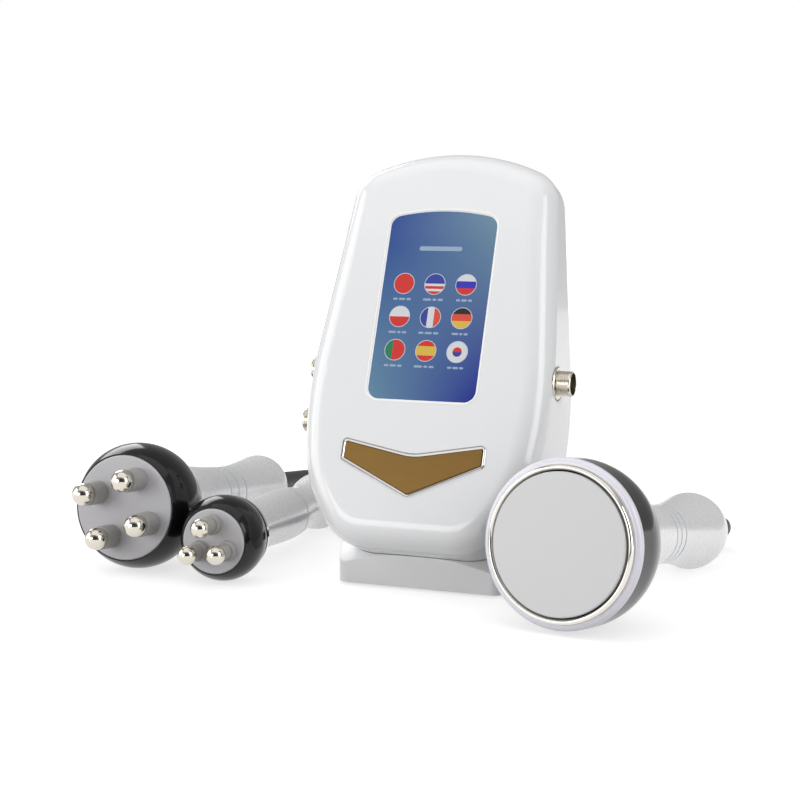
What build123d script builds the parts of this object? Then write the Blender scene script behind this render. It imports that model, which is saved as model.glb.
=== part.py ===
from build123d import *
import math
import os

# A desktop body care machine with a leaning console and three handpieces.
# Millimetres. X to the right seen from the front, Y to the back, Z up.
# The origin is the centre of the stand's underside, on the table.

# Console housing: outline in the leaning front plane, u across and v up
FRONT_LEAN = 21.0
FRONT_FOOT_Y = -68.0
BACK_LEAN = 9.3
BACK_FOOT_Y = 2.5
OUTLINE_BOTTOM = 27.0
OUTLINE_TOP = 224.5
CORNER_R = 27.7
HIP_R = 75.0
SIDE_R = 200.0
SHOULDER_R = 18.0
CROWN_R = 103.0
CORNER_HEADING = 50.0
HIP_HEADING = 81.5
TAPER_HEADING = 95.9
CROWN_HEADING = 156.0
FRONT_EDGE_R = 12.0
BACK_EDGE_R = 8.0
WALL = 2.5
HOUSING_FLOOR_Z = 9.0
REAR_COVER_DEPTH = 10.5
LIP_HEIGHT = 2.0
LIP_THICKNESS = 1.1
LIP_CLEARANCE = 0.2
OVERRUN = 5.0

# Screen window and badge, both in the front plane
SCREEN_HALF_W = 27.5
SCREEN_BOTTOM = 97.2
SCREEN_SHOULDER = 188.5
SCREEN_TOP = 192.0
SCREEN_CORNER_R = 6.0
GLASS_T = 1.1
GLASS_SINK = 0.5
GLASS_CLEARANCE = 0.3
WINDOW_LEDGE = 2.2
LCD_T = 3.6
LCD_FRAME = 1.2
BADGE_HALF_W = 36.2
BADGE_TOP = 78.0
BADGE_DIP = 71.4
BADGE_SIDE_BOTTOM = 67.0
BADGE_TIP = 50.4
BADGE_CORNER_R = 2.5
BADGE_DIP_R = 28.0
BADGE_TIP_R = 4.0
BADGE_FRAME_W = 1.9
BADGE_FRAME_T = 1.4
BADGE_SINK = 0.9
BADGE_PLATE_SINK = 0.45

# Stand
STAND_HALF_DEPTH = 36.0
STAND_FRONT_HALF = 40.0
STAND_SIDE_BULGE = 9.0
STAND_BACK_BULGE = 4.0
STAND_FRONT_CORNER_R = 6.0
STAND_BACK_CORNER_R = 14.0
STAND_GAP_Z = 1.0
STAND_BARREL_R = 69.5
STAND_BARREL_DROP = 42.8
STAND_CROWN_R = 155.0
STAND_EDGE_R = 0.8
STAND_WALL = 2.6
STAND_CAVITY_TOP = 6.2
STAND_FIT = 0.2
PLATE_T = 1.8
PAD_INSET = 9.5
PAD_RECESS = 0.5

# Round sockets for the handpieces
SOCKET_RIGHT_PLACES = ((112.8, 16.7),)
SOCKET_LEFT_PLACES = ((117.2, 26.2), (90.6, 25.2))
THREAD_R = 6.0
THREAD_OUT = 7.0
THREAD_IN = 9.5
SOCKET_FLANGE_R = 7.8
SOCKET_FLANGE_T = 1.4
SOCKET_BORE_R = 5.2
SOCKET_CUP = 7.8
SOCKET_HOLE_CLEARANCE = 0.1
SPOT_FACE_R = 8.4
SPOT_FACE_X = 60.3
SOCKET_SEAT_R = 9.2
SOCKET_SEAT = 3.4
NUT_ACROSS = 15.0
NUT_T = 3.0
WASHER_R = 8.0
WASHER_T = 0.8
INSERT_T = 4.0
INSERT_CLEARANCE = 0.05
PIN_R = 0.5
PIN_COUNT = 4
PIN_PITCH_R = 2.4
PIN_REACH = 3.0
PIN_TAIL = 5.0

# Boards and drive parts inside
BOARD_T = 1.6
MAIN_BOARD_W = 66.0
MAIN_BOARD_H = 104.0
MAIN_BOARD_V = 138.0
MAIN_BOARD_DEPTH = 13.0
CHIP_W = 12.0
CHIP_T = 1.4
BOARD_POST_R = 2.6
BOARD_POST_INSET = 3.0
DRIVER_BOARD_W = 84.0
DRIVER_BOARD_H = 34.0
DRIVER_BOARD_V = 72.0
DRIVER_BOARD_STANDOFF = 12.0
DRIVER_POST_R = 2.6
CORE_W = 22.0
CORE_H = 20.0
CORE_T = 7.0
BOBBIN_W = 15.0
BOBBIN_H = 13.0
BOBBIN_T = 12.0
CORE_U = -22.0
SINK_W = 30.0
SINK_H = 22.0
SINK_BASE_T = 2.0
SINK_FIN_T = 1.2
SINK_FIN_DEPTH = 10.0
SINK_FIN_COUNT = 6
SINK_U = 20.0
BUZZER_R = 6.0
BUZZER_T = 8.0
BUZZER_U = 18.0
BUZZER_TOP_INSET = 20.0

# Fan, power inlet and rocker switch in the rear cover
FAN_V = 128.0
FAN_SIZE = 40.0
FAN_DEPTH = 10.0
FAN_CORNER_R = 3.0
FAN_DUCT_R = 19.0
FAN_HUB_R = 10.5
FAN_TIP_GAP = 0.6
FAN_BLADE_COUNT = 7
FAN_BLADE_T = 1.0
FAN_BLADE_PITCH = 38.0
FAN_MOTOR_R = 9.0
FAN_MOTOR_T = 2.5
FAN_SPOKE_W = 2.0
FAN_HOLE_PITCH = 32.0
FAN_SHAFT_R = 1.0
FAN_SHAFT_CLEARANCE = 0.06
FAN_ROTOR_GAP = 0.4
FAN_SCREW_L = 11.0
SLOT_W = 2.2
SLOT_PITCH = 4.2
SLOT_COUNT = 9
SLOT_FIELD_R = 18.5
INLET_U = -26.0
INLET_V = 42.0
INLET_FLANGE_R = 7.0
INLET_FLANGE_T = 1.5
INLET_BODY_R = 5.4
INLET_BODY_L = 12.0
INLET_BORE_R = 3.2
INLET_BORE_L = 9.0
INLET_PIN_R = 1.05
INLET_NUT_R = 7.0
INLET_NUT_T = 2.5
SWITCH_U = 24.0
SWITCH_V = 42.0
SWITCH_W = 15.0
SWITCH_H = 21.0
SWITCH_BEZEL_T = 1.6
SWITCH_BODY_W = 13.0
SWITCH_BODY_H = 19.0
SWITCH_BODY_L = 15.0
ROCKER_W = 10.0
ROCKER_R = 8.2
ROCKER_GAP = 0.3
ROCKER_PIVOT_DEPTH = 3.2
ROCKER_TILT = 10.0
ROCKER_TRIM = 3.0
ROCKER_PIN_R = 1.0
ROCKER_PIN_L = 0.9
ROCKER_PIN_CLEARANCE = 0.06

# Screws
SCREW_R = 1.5
SCREW_HEAD_R = 2.8
SCREW_HEAD_T = 1.8
SCREW_L = 12.0
SCREW_SLACK = 0.15
BOSS_R = 4.2
BOSS_L = 16.0
BOSS_PLACES = ((40.0, 170.0), (-40.0, 170.0), (48.0, 58.0), (-48.0, 58.0))
BOSS_WEB_W = 24.0
BOSS_WEB_T = 2.4
STAND_SCREW_U = 17.0
STAND_SCREW_Y = -11.5
STAND_SCREW_L = 7.0
STAND_BOSS_H = 4.0
PLATE_SCREW_X = 37.0
PLATE_SCREW_Y = 25.0
PLATE_SCREW_L = 6.0
PLATE_HEAD_T = 1.0
PLATE_POST_R = 3.2

# Handpieces: place of the head on the table, heading of the handle from +Y
CAV_X = 87.2
CAV_Y = -72.5
CAV_HEADING = 9.2
CAV_HEAD_R = 37.2
CAV_BOWL_DEPTH = 40.0
CAV_BACK = 29.0
BOWL_STEPS = 6
CAV_SHELL = 2.5
CAV_RING_BACK = 9.4
CAV_RING_FRONT = 12.6
CAV_RING_BORE_R = 34.4
CAV_RING_EDGE_R = 2.2
CAV_BEZEL_R = 34.4
CAV_BEZEL_BORE_R = 31.2
CAV_BEZEL_FRONT = 14.9
CAV_BEZEL_BACK = 6.0
CAV_BEZEL_SHOULDER = 12.8
CAV_DISC_R = 31.2
CAV_DISC_FRONT = 15.5
CAV_DISC_BACK = 11.2
CAV_DISC_EDGE = 0.5
CAV_HORN_R = 22.0
CAV_HORN_WAIST_R = 13.0
CAV_HORN_L = 13.0
CAV_PIEZO_R = 12.5
CAV_PIEZO_T = 5.0
CAV_MASS_L = 7.0
CAV_FLARE_R = 19.15
CAV_FLARE_S = 136.0
CAV_GRIP_END = 156.0

QUAD_X = -148.0
QUAD_Y = -42.3
QUAD_HEADING = -2.35
QUAD_HEAD_R = 31.6
QUAD_BULGE = 28.0
QUAD_BACK = 25.0
QUAD_SHELL = 2.5
QUAD_RIM = 14.9
QUAD_FACE_R = 26.0
QUAD_FACE_A = 15.6
QUAD_FACE_T = 4.0
QUAD_FLARE_R = 17.8
QUAD_FLARE_S = 143.0
QUAD_GRIP_END = 156.0
QUAD_POST_COUNT = 4
QUAD_POST_PITCH_R = 16.0
QUAD_POST_ANGLE = 65.0
QUAD_POST_R = 5.8
QUAD_POST_L = 11.2
QUAD_BALL_R = 5.5
QUAD_BALL_A = 14.5
QUAD_STEM_R = 2.0

TRI_X = -95.2
TRI_Y = -51.4
TRI_HEADING = -4.65
TRI_HEAD_R = 21.0
TRI_BULGE = 19.6
TRI_BACK = 10.0
TRI_SHELL = 2.2
TRI_RIM = 12.0
TRI_FACE_R = 15.9
TRI_FACE_A = 12.6
TRI_FACE_T = 3.4
TRI_FLARE_R = 15.7
TRI_FLARE_S = 132.0
TRI_GRIP_END = 150.0
TRI_RING_R = 19.2
TRI_RING_T = 1.6
TRI_RING_CONE = 5.0
TRI_POST_COUNT = 3
TRI_POST_PITCH_R = 8.5
TRI_POST_ANGLE = 93.5
TRI_POST_R = 4.95
TRI_POST_L = 4.0
TRI_NECK_R = 3.8
TRI_NECK_L = 11.6
TRI_BALL_R = 4.6
TRI_BALL_A = 14.0
TRI_STEM_R = 1.5

POST_EDGE_R = 0.8
FACE_EDGE_R = 0.8
SEAT_CLEARANCE = 0.15
LEDGE_W = 3.0
STEM_DEPTH = 9.0
BALL_SEAT_GAP = 0.05
GROOVE_COUNT = 3
GROOVE_W = 1.2
GROOVE_DEPTH = 0.7
CAV_GROOVE_S = 84.0
CAV_GROOVE_PITCH = 6.0
QUAD_GROOVE_S = 76.0
QUAD_GROOVE_PITCH = 10.5
TRI_GROOVE_S = 80.0
TAIL_R = 6.6
CAV_GRIP_SHARES = ((0.000, 0.974), (0.126, 0.909), (0.244, 0.846), (0.362, 0.791), (0.465, 0.755),
                   (0.559, 0.752), (0.638, 0.794), (0.717, 0.867), (0.780, 0.940), (0.843, 1.000),
                   (0.898, 0.927), (0.937, 0.838), (0.969, 0.702))
QUAD_GRIP_SHARES = ((0.000, 1.039), (0.115, 0.983), (0.229, 0.927), (0.344, 0.860), (0.458, 0.812),
                    (0.557, 0.792), (0.649, 0.812), (0.725, 0.860), (0.786, 0.910), (0.847, 0.966),
                    (0.901, 1.000), (0.947, 0.904), (0.977, 0.742))
TRI_GRIP_SHARES = ((0.000, 0.809), (0.063, 0.796), (0.160, 0.803), (0.265, 0.828), (0.370, 0.863),
                   (0.475, 0.866), (0.550, 0.822), (0.618, 0.758), (0.685, 0.752), (0.738, 0.822),
                   (0.798, 0.930), (0.865, 1.000), (0.933, 0.936), (0.978, 0.752))
FLOOR_GAP = 0.2

# Leads of the two handpieces that show a cord, with their rubber boots
CORD_R = 2.5
BOOT_ROOT_R = 6.2
QUAD_BOOT_L = 60.0
QUAD_BOOT_TIP_R = 5.0
CAV_BOOT_COLLAR_L = 20.0
CAV_BOOT_BEND_R = 23.0
CAV_BOOT_TURN = 90.0
CAV_BOOT_DROP = 12.0
CAV_BOOT_TIP_R = 3.8
BOOT_SECTIONS = 7
GLAND_R = 5.4
GLAND_L = 6.0
COIL_TURNS_IN = 3
COIL_PITCH = 5.6
COIL_LAYER = 5.6
COIL_REVERSAL_SHARE = 0.12
CLIMB_SHARE = 0.5
CORD_LIFT = 1.2
COIL_STUB = 5.0
NODES_PER_TURN = 4
QUAD_COIL_X = -42.0
QUAD_COIL_Y = 84.0
QUAD_COIL_R = 35.9
QUAD_COIL_START = 90.0
QUAD_COIL_TURNS = 5.75
CAV_COIL_X = 40.0
CAV_COIL_Y = 84.0
CAV_COIL_R = 37.7
CAV_COIL_START = 90.0
CAV_COIL_TURNS = 6.0
TIE_W = 8.0
TIE_T = 0.8
TIE_CLEARANCE = 0.3
TIE_TAIL = 9.0
TIE_CORNER_R = 2.0
QUAD_TIE_ANGLE = -130.0
CAV_TIE_ANGLE = -50.0
BEND_SHARE = 0.45
PLUG_REAR_R = 4.0
PLUG_R = 5.25
PLUG_L = 27.0
PLUG_CONE_L = 9.0
PLUG_NOSE_R = 4.3
PLUG_NOSE_L = 9.0
PLUG_AXIS_Z = 7.4
RING_R = 7.2
RING_L = 16.0
RING_START = 16.0
RING_CLEARANCE = 0.08
RING_SHOULDER_GAP = 0.3
RING_LIP_T = 1.2

FRONT_SIN = math.sin(math.radians(FRONT_LEAN))
FRONT_COS = math.cos(math.radians(FRONT_LEAN))
BACK_SIN = math.sin(math.radians(BACK_LEAN))
BACK_COS = math.cos(math.radians(BACK_LEAN))
FRONT = Plane(origin=(0, FRONT_FOOT_Y, 0), x_dir=(1, 0, 0), z_dir=(0, -FRONT_COS, FRONT_SIN))
BACK = Plane(origin=(0, BACK_FOOT_Y, 0), x_dir=(-1, 0, 0), z_dir=(0, BACK_COS, -BACK_SIN))
BLANK_DEPTH = 100.0
BIG = 900.0


def arc_step(radius, start, end):
    """Displacement of an arc that turns left from one heading to another, in degrees."""
    a = math.radians(start)
    b = math.radians(end)
    return radius * (math.sin(b) - math.sin(a)), radius * (math.cos(a) - math.cos(b))


def outline_arcs(inset):
    """Radius, start heading and end heading of each arc, from the bottom flat up to the crown."""
    return (
        (CORNER_R - inset, 0, CORNER_HEADING),
        (HIP_R - inset, CORNER_HEADING, HIP_HEADING),
        (SIDE_R - inset, HIP_HEADING, TAPER_HEADING),
        (SHOULDER_R - inset, TAPER_HEADING, CROWN_HEADING),
        (CROWN_R - inset, CROWN_HEADING, 180),
    )


def housing_outline(inset):
    """Closed tombstone outline. The straight taper and the bottom flat close the chain of arcs."""
    arcs = outline_arcs(inset)
    steps = [arc_step(*arc) for arc in arcs]
    rise = OUTLINE_TOP - OUTLINE_BOTTOM - 2 * inset
    taper = (rise - sum(dv for du, dv in steps)) / math.sin(math.radians(TAPER_HEADING))
    flat = -sum(du for du, dv in steps) - taper * math.cos(math.radians(TAPER_HEADING))
    u, v, heading = flat, OUTLINE_BOTTOM + inset, 0
    edges = [Line((-flat, v), (flat, v))]
    for index, (radius, start, end) in enumerate(arcs):
        tangent = (math.cos(math.radians(start)), math.sin(math.radians(start)))
        if index == 3:
            line = Line((u, v), (u + taper * tangent[0], v + taper * tangent[1]))
            edges += [line, mirror(line, Plane.YZ)]
            u, v = (line @ 1).X, (line @ 1).Y
        arc = JernArc(start=(u, v), tangent=tangent, radius=radius, arc_size=end - start)
        edges += [arc, mirror(arc, Plane.YZ)]
        u, v = (arc @ 1).X, (arc @ 1).Y
    return make_face(edges)


def behind_back(inset):
    """Everything behind the housing's leaning back plane, moved in by the inset."""
    return BACK.offset(-inset) * Box(BIG, BIG, BIG, align=(Align.CENTER, Align.CENTER, Align.MIN))


def housing_blank(inset, floor_z):
    """Solid housing, or its inside when inset by the wall."""
    face = FRONT.offset(-inset) * housing_outline(inset)
    blank = extrude(face, amount=-BLANK_DEPTH) - behind_back(inset)
    outward = Axis((0, 0, 0), (0, -FRONT_COS, FRONT_SIN))
    blank = fillet(blank.faces().sort_by(outward)[-1].edges(), FRONT_EDGE_R - inset)
    rear = Axis((0, 0, 0), (0, BACK_COS, -BACK_SIN))
    blank = fillet(blank.faces().sort_by(rear)[-1].edges(), BACK_EDGE_R - inset)
    below = Pos(0, 0, floor_z) * Box(BIG, BIG, BIG, align=(Align.CENTER, Align.CENTER, Align.MAX))
    return blank - below


def front_place(u, v, depth):
    """Plane parallel to the front, its local z pointing out of the housing."""
    return FRONT * Pos(u, v, -depth)


def back_place(u, v, depth):
    """Plane parallel to the back, u to the right seen from the front."""
    return BACK * Pos(-u, v, -depth)


def rod(radius, low, high):
    """Cylinder on the local z axis between two heights."""
    return Pos(0, 0, low) * Cylinder(radius, high - low, align=(Align.CENTER, Align.CENTER, Align.MIN))


def tube(outer, inner, low, high):
    return rod(outer, low, high) - rod(inner, low - OVERRUN, high + OVERRUN)


def block(width, height, low, high):
    """Box centred on the local z axis between two heights."""
    return Pos(0, 0, low) * Box(width, height, high - low, align=(Align.CENTER, Align.CENTER, Align.MIN))


def turned(points):
    """Solid turned round the local z axis from (radius, height) points."""
    return revolve(Plane.XZ * make_face(Polyline(*points, close=True)), Axis.Z)


def screen_outline(grow):
    """Portrait window with an arched top."""
    half = SCREEN_HALF_W + grow
    low = SCREEN_BOTTOM - grow
    shoulder = SCREEN_SHOULDER + grow
    sides = Polyline((-half, shoulder), (-half, low), (half, low), (half, shoulder))
    arch = ThreePointArc((half, shoulder), (0, SCREEN_TOP + grow), (-half, shoulder))
    face = make_face([*sides.edges(), arch])
    return fillet(face.vertices(), SCREEN_CORNER_R + grow)


def badge_outline(grow):
    """Chevron with a dipped top edge and a blunt point at the bottom."""
    half = BADGE_HALF_W
    points = ((-half, BADGE_TOP), (0, BADGE_DIP), (half, BADGE_TOP),
              (half, BADGE_SIDE_BOTTOM), (0, BADGE_TIP), (-half, BADGE_SIDE_BOTTOM))
    face = make_face(Polyline(*points, close=True))
    if grow:
        face = offset(face, amount=grow, kind=Kind.INTERSECTION)
    side = [v for v in face.vertices() if abs(v.X) > half / 2]
    face = fillet(side, BADGE_CORNER_R + grow)
    dip = [v for v in face.vertices() if abs(v.X) < BADGE_FRAME_W and v.Y > BADGE_SIDE_BOTTOM]
    face = fillet(dip, BADGE_DIP_R - grow)
    tip = [v for v in face.vertices() if abs(v.X) < BADGE_FRAME_W and v.Y < BADGE_SIDE_BOTTOM]
    return fillet(tip, BADGE_TIP_R + grow)


def plate_in_front(face, top_depth, bottom_depth):
    """A flat plate parallel to the front plane between two depths."""
    return extrude(FRONT.offset(-top_depth) * face, amount=top_depth - bottom_depth)


def socket_planes():
    """Outward looking plane at the middle of each spot face, right socket first."""
    planes = []
    for side, places in ((1, SOCKET_RIGHT_PLACES), (-1, SOCKET_LEFT_PLACES)):
        for v, depth in places:
            spot = FRONT.from_local_coords((0, v, -depth))
            origin = (side * SPOT_FACE_X, spot.Y, spot.Z)
            planes.append(Plane(origin=origin, x_dir=(0, side, 0), z_dir=(side, 0, 0)))
    return planes


def rear_bosses(radius, length):
    bosses = [back_place(u, v, REAR_COVER_DEPTH) * rod(radius, -length, 0) for u, v in BOSS_PLACES]
    return bosses


def vent_slots():
    slots = []
    for index in range(SLOT_COUNT):
        u = (index - (SLOT_COUNT - 1) / 2) * SLOT_PITCH
        half = math.sqrt(SLOT_FIELD_R ** 2 - u ** 2)
        slot = Rot(0, 0, 90) * SlotOverall(2 * half, SLOT_W)
        slots.append(back_place(u, FAN_V, WALL + OVERRUN) * extrude(slot, amount=WALL + 2 * OVERRUN))
    return slots


def fan_holes():
    half = FAN_HOLE_PITCH / 2
    return [(x, y) for x in (-half, half) for y in (-half, half)]


def boss_webs():
    """Ribs that tie the front cover's screw bosses to its side walls."""
    webs = []
    for u, v in BOSS_PLACES:
        side = math.copysign(BOSS_WEB_W / 2, u)
        web = Pos(-side, 0, 0) * block(BOSS_WEB_W, BOSS_WEB_T, -BOSS_L, 0)
        webs.append(back_place(u, v, REAR_COVER_DEPTH) * web)
    return webs


def make_front_cover(shell, outer, rear_part):
    front = shell - rear_part
    for boss in rear_bosses(BOSS_R, BOSS_L) + boss_webs():
        front += (boss & outer) - rear_part
    for cut in rear_bosses(SCREW_R, SCREW_L):
        front -= cut
    half_w = MAIN_BOARD_W / 2 - BOARD_POST_INSET
    half_h = MAIN_BOARD_H / 2 - BOARD_POST_INSET
    for u in (-half_w, half_w):
        for v in (MAIN_BOARD_V - half_h, MAIN_BOARD_V + half_h):
            front += front_place(u, v, MAIN_BOARD_DEPTH) * rod(BOARD_POST_R, 0, MAIN_BOARD_DEPTH - WALL)

    front -= plate_in_front(screen_outline(GLASS_CLEARANCE), 0, GLASS_SINK + GLASS_T)
    front -= plate_in_front(screen_outline(-WINDOW_LEDGE), 0, WALL + OVERRUN)
    front -= plate_in_front(badge_outline(0), 0, BADGE_SINK)

    for plane in socket_planes():
        front += plane * rod(SOCKET_SEAT_R, -SOCKET_SEAT, 0) & outer
        front -= plane * rod(SPOT_FACE_R, 0, OVERRUN)
        front -= plane * rod(THREAD_R + SOCKET_HOLE_CLEARANCE, -SOCKET_SEAT - OVERRUN, OVERRUN)
    for x in (-STAND_SCREW_U, STAND_SCREW_U):
        top = WALL + STAND_BOSS_H
        front += Pos(x, STAND_SCREW_Y, HOUSING_FLOOR_Z) * rod(BOSS_R, 0, top) & outer - rear_part
        front -= Pos(x, STAND_SCREW_Y, HOUSING_FLOOR_Z) * rod(SCREW_R, -OVERRUN, top + OVERRUN)
    return front


def cover_lip(rear_part):
    """Thin rim on the rear cover that reaches into the front cover."""
    floor_z = HOUSING_FLOOR_Z + WALL
    inside = housing_blank(WALL + LIP_THICKNESS + LIP_CLEARANCE, floor_z + LIP_THICKNESS + LIP_CLEARANCE)
    foot = (housing_blank(WALL, floor_z) - inside) & rear_part
    foot -= behind_back(REAR_COVER_DEPTH - LIP_HEIGHT)
    lip = (housing_blank(WALL + LIP_CLEARANCE, floor_z + LIP_CLEARANCE) - inside) - rear_part
    lip = lip & behind_back(REAR_COVER_DEPTH + LIP_HEIGHT)
    for boss in rear_bosses(BOSS_R + LIP_CLEARANCE, BOSS_L):
        lip -= boss
    for web in boss_webs():
        lip -= web
    for plane in socket_planes():
        lip -= plane * rod(SOCKET_SEAT_R + LIP_CLEARANCE, -THREAD_IN, OVERRUN)
    for x in (-STAND_SCREW_U, STAND_SCREW_U):
        top = HOUSING_FLOOR_Z + WALL + STAND_BOSS_H + OVERRUN
        lip -= Pos(x, STAND_SCREW_Y, 0) * rod(BOSS_R + LIP_CLEARANCE, 0, top)
    return foot + lip


def make_rear_cover(shell, outer, rear_part):
    rear = (shell & rear_part) + cover_lip(rear_part)
    for u, v in BOSS_PLACES:
        rear += back_place(u, v, 0) * rod(BOSS_R, -REAR_COVER_DEPTH, -WALL) & outer
    for u, v in BOSS_PLACES:
        place = back_place(u, v, 0)
        rear -= place * rod(SCREW_R + SCREW_SLACK, -REAR_COVER_DEPTH - OVERRUN, OVERRUN)
        rear -= place * rod(SCREW_HEAD_R + SCREW_SLACK, -REAR_COVER_DEPTH + WALL, OVERRUN)
    for slot in vent_slots():
        rear -= slot
    for x, y in fan_holes():
        rear -= back_place(0, FAN_V, 0) * Pos(x, y, 0) * rod(SCREW_R + SCREW_SLACK, -WALL - OVERRUN, OVERRUN)
    hole = rod(INLET_BODY_R + SOCKET_HOLE_CLEARANCE, -WALL - OVERRUN, OVERRUN)
    rear -= back_place(INLET_U, INLET_V, 0) * hole
    opening = block(SWITCH_BODY_W + SOCKET_HOLE_CLEARANCE, SWITCH_BODY_H + SOCKET_HOLE_CLEARANCE,
                    -WALL - OVERRUN, OVERRUN)
    rear -= back_place(SWITCH_U, SWITCH_V, 0) * opening
    spread_u = DRIVER_BOARD_W / 2 - BOARD_POST_INSET
    spread_v = DRIVER_BOARD_H / 2 - BOARD_POST_INSET
    for u in (-spread_u, spread_u):
        for v in (DRIVER_BOARD_V - spread_v, DRIVER_BOARD_V + spread_v):
            rear += back_place(u, v, 0) * rod(DRIVER_POST_R, -WALL - DRIVER_BOARD_STANDOFF, -WALL)
    return rear


def make_covers():
    outer = housing_blank(0, HOUSING_FLOOR_Z)
    shell = outer - housing_blank(WALL, HOUSING_FLOOR_Z + WALL)
    rear_part = behind_back(REAR_COVER_DEPTH)
    return make_front_cover(shell, outer, rear_part), make_rear_cover(shell, outer, rear_part)


def make_screen():
    glass = plate_in_front(screen_outline(0), GLASS_SINK, GLASS_SINK + GLASS_T)
    top = GLASS_SINK + GLASS_T
    lcd = plate_in_front(screen_outline(-WINDOW_LEDGE - GLASS_CLEARANCE), top, top + LCD_T)
    back = plate_in_front(screen_outline(-LCD_FRAME), max(top, WALL) + GLASS_CLEARANCE, top + LCD_T)
    return glass, lcd + back


def make_badge():
    frame_face = badge_outline(0)
    plate_face = badge_outline(-BADGE_FRAME_W)
    frame = plate_in_front(frame_face, BADGE_SINK - BADGE_FRAME_T, BADGE_SINK)
    outward = Axis((0, 0, 0), (0, -FRONT_COS, FRONT_SIN))
    frame = fillet(frame.faces().sort_by(outward)[-1].edges(), BADGE_FRAME_T / 3)
    frame -= plate_in_front(plate_face, BADGE_SINK - BADGE_FRAME_T - OVERRUN, BADGE_PLATE_SINK)
    plate = plate_in_front(plate_face, BADGE_SINK - BADGE_FRAME_T + BADGE_PLATE_SINK, BADGE_PLATE_SINK)
    return frame, plate


# Stand

def stand_plan(inset):
    half = STAND_HALF_DEPTH - inset
    front_half = STAND_FRONT_HALF - inset
    side = STAND_FRONT_HALF + STAND_SIDE_BULGE - inset
    edges = [
        Line((-front_half, -half), (front_half, -half)),
        ThreePointArc((front_half, -half), (side, 0), (front_half, half)),
        ThreePointArc((front_half, half), (0, half + STAND_BACK_BULGE), (-front_half, half)),
        ThreePointArc((-front_half, half), (-side, 0), (-front_half, -half)),
    ]
    face = make_face(edges)
    face = fillet([v for v in face.vertices() if v.Y < 0], STAND_FRONT_CORNER_R)
    back = [v for v in face.vertices() if v.Y > half / 2 and abs(v.X) > front_half / 2]
    return fillet(back, STAND_BACK_CORNER_R)


def barrel(shrink):
    """Barrel lying along X whose upper side is the crowned top of the stand."""
    reach = STAND_FRONT_HALF + 2 * STAND_SIDE_BULGE
    crown = STAND_CROWN_R - shrink
    top = STAND_BARREL_R - shrink
    drop = crown - math.sqrt(crown ** 2 - reach ** 2)
    arch = ThreePointArc((-reach, top - drop), (0, top), (reach, top - drop))
    rest = Polyline((reach, top - drop), (reach, 0), (-reach, 0), (-reach, top - drop))
    body = revolve(Plane.XZ * make_face([arch, *rest.edges()]), Axis.X)
    return Pos(0, 0, -STAND_BARREL_DROP) * body


def stand_slab(inset, low, high):
    return Pos(0, 0, low) * extrude(stand_plan(inset), amount=high - low)


def make_stand():
    body = stand_slab(0, STAND_GAP_Z, STAND_BARREL_R) & barrel(0)
    top_edges = [e for e in body.edges() if e.center().Z > STAND_CAVITY_TOP + STAND_WALL]
    body = fillet(top_edges, STAND_EDGE_R)
    body -= stand_slab(STAND_WALL, STAND_GAP_Z, STAND_CAVITY_TOP)
    body -= housing_blank(-STAND_FIT, HOUSING_FLOOR_Z)
    plate = stand_slab(STAND_WALL + STAND_FIT, STAND_GAP_Z, STAND_GAP_Z + PLATE_T)
    plate -= stand_slab(PAD_INSET - STAND_FIT, STAND_GAP_Z, STAND_GAP_Z + PAD_RECESS)
    for x, y in plate_screw_places():
        body += Pos(x, y, 0) * rod(PLATE_POST_R, STAND_GAP_Z + PLATE_T, STAND_CAVITY_TOP)
        body -= Pos(x, y, 0) * rod(SCREW_R, STAND_GAP_Z, STAND_GAP_Z + PLATE_HEAD_T + PLATE_SCREW_L)
        plate -= Pos(x, y, 0) * rod(SCREW_R + SCREW_SLACK, 0, OVERRUN)
        plate -= Pos(x, y, 0) * rod(SCREW_HEAD_R + SCREW_SLACK, 0, STAND_GAP_Z + PLATE_HEAD_T)
    for x in (-STAND_SCREW_U, STAND_SCREW_U):
        hole = rod(SCREW_R + SCREW_SLACK, STAND_GAP_Z, HOUSING_FLOOR_Z + OVERRUN)
        body -= Pos(x, STAND_SCREW_Y, 0) * hole
    pad = stand_slab(PAD_INSET, 0, STAND_GAP_Z + PAD_RECESS)
    return body, plate, pad


def plate_screw_places():
    return [(x, y) for x in (-PLATE_SCREW_X, PLATE_SCREW_X) for y in (-PLATE_SCREW_Y, PLATE_SCREW_Y)]


def screw(length, head_t):
    """Pan head screw, the head's underside at the local origin and the shank along -z."""
    head = rod(SCREW_HEAD_R, 0, head_t)
    head = fillet(head.faces().sort_by(Axis.Z)[-1].edges(), head_t / 3)
    slot = block(SCREW_HEAD_R, SCREW_R / 2, head_t / 2, head_t + OVERRUN)
    cross = slot + Rot(0, 0, 90) * slot
    return head - cross + rod(SCREW_R, -length, 0)


# Sockets

def hexagon(across, low, high):
    face = RegularPolygon(across / 2, 6, major_radius=False)
    return Pos(0, 0, low) * extrude(face, amount=high - low)


def socket_body():
    body = rod(SOCKET_FLANGE_R, 0, SOCKET_FLANGE_T)
    body = fillet(body.faces().sort_by(Axis.Z)[-1].edges(), SOCKET_FLANGE_T / 4)
    body += rod(THREAD_R, -THREAD_IN, SOCKET_FLANGE_T + THREAD_OUT)
    end = SOCKET_FLANGE_T + THREAD_OUT
    body -= rod(SOCKET_BORE_R, -THREAD_IN - OVERRUN, end + OVERRUN)
    return body


def socket_insert():
    end = SOCKET_FLANGE_T + THREAD_OUT - SOCKET_CUP
    return rod(SOCKET_BORE_R - INSERT_CLEARANCE, end - INSERT_T, end)


def socket_pins():
    end = SOCKET_FLANGE_T + THREAD_OUT - SOCKET_CUP
    pins = []
    for index in range(PIN_COUNT):
        place = Rot(0, 0, 360 / PIN_COUNT * index) * Pos(PIN_PITCH_R, 0, 0)
        pins.append(place * rod(PIN_R, end - INSERT_T - PIN_TAIL, end + PIN_REACH))
    return pins


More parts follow.
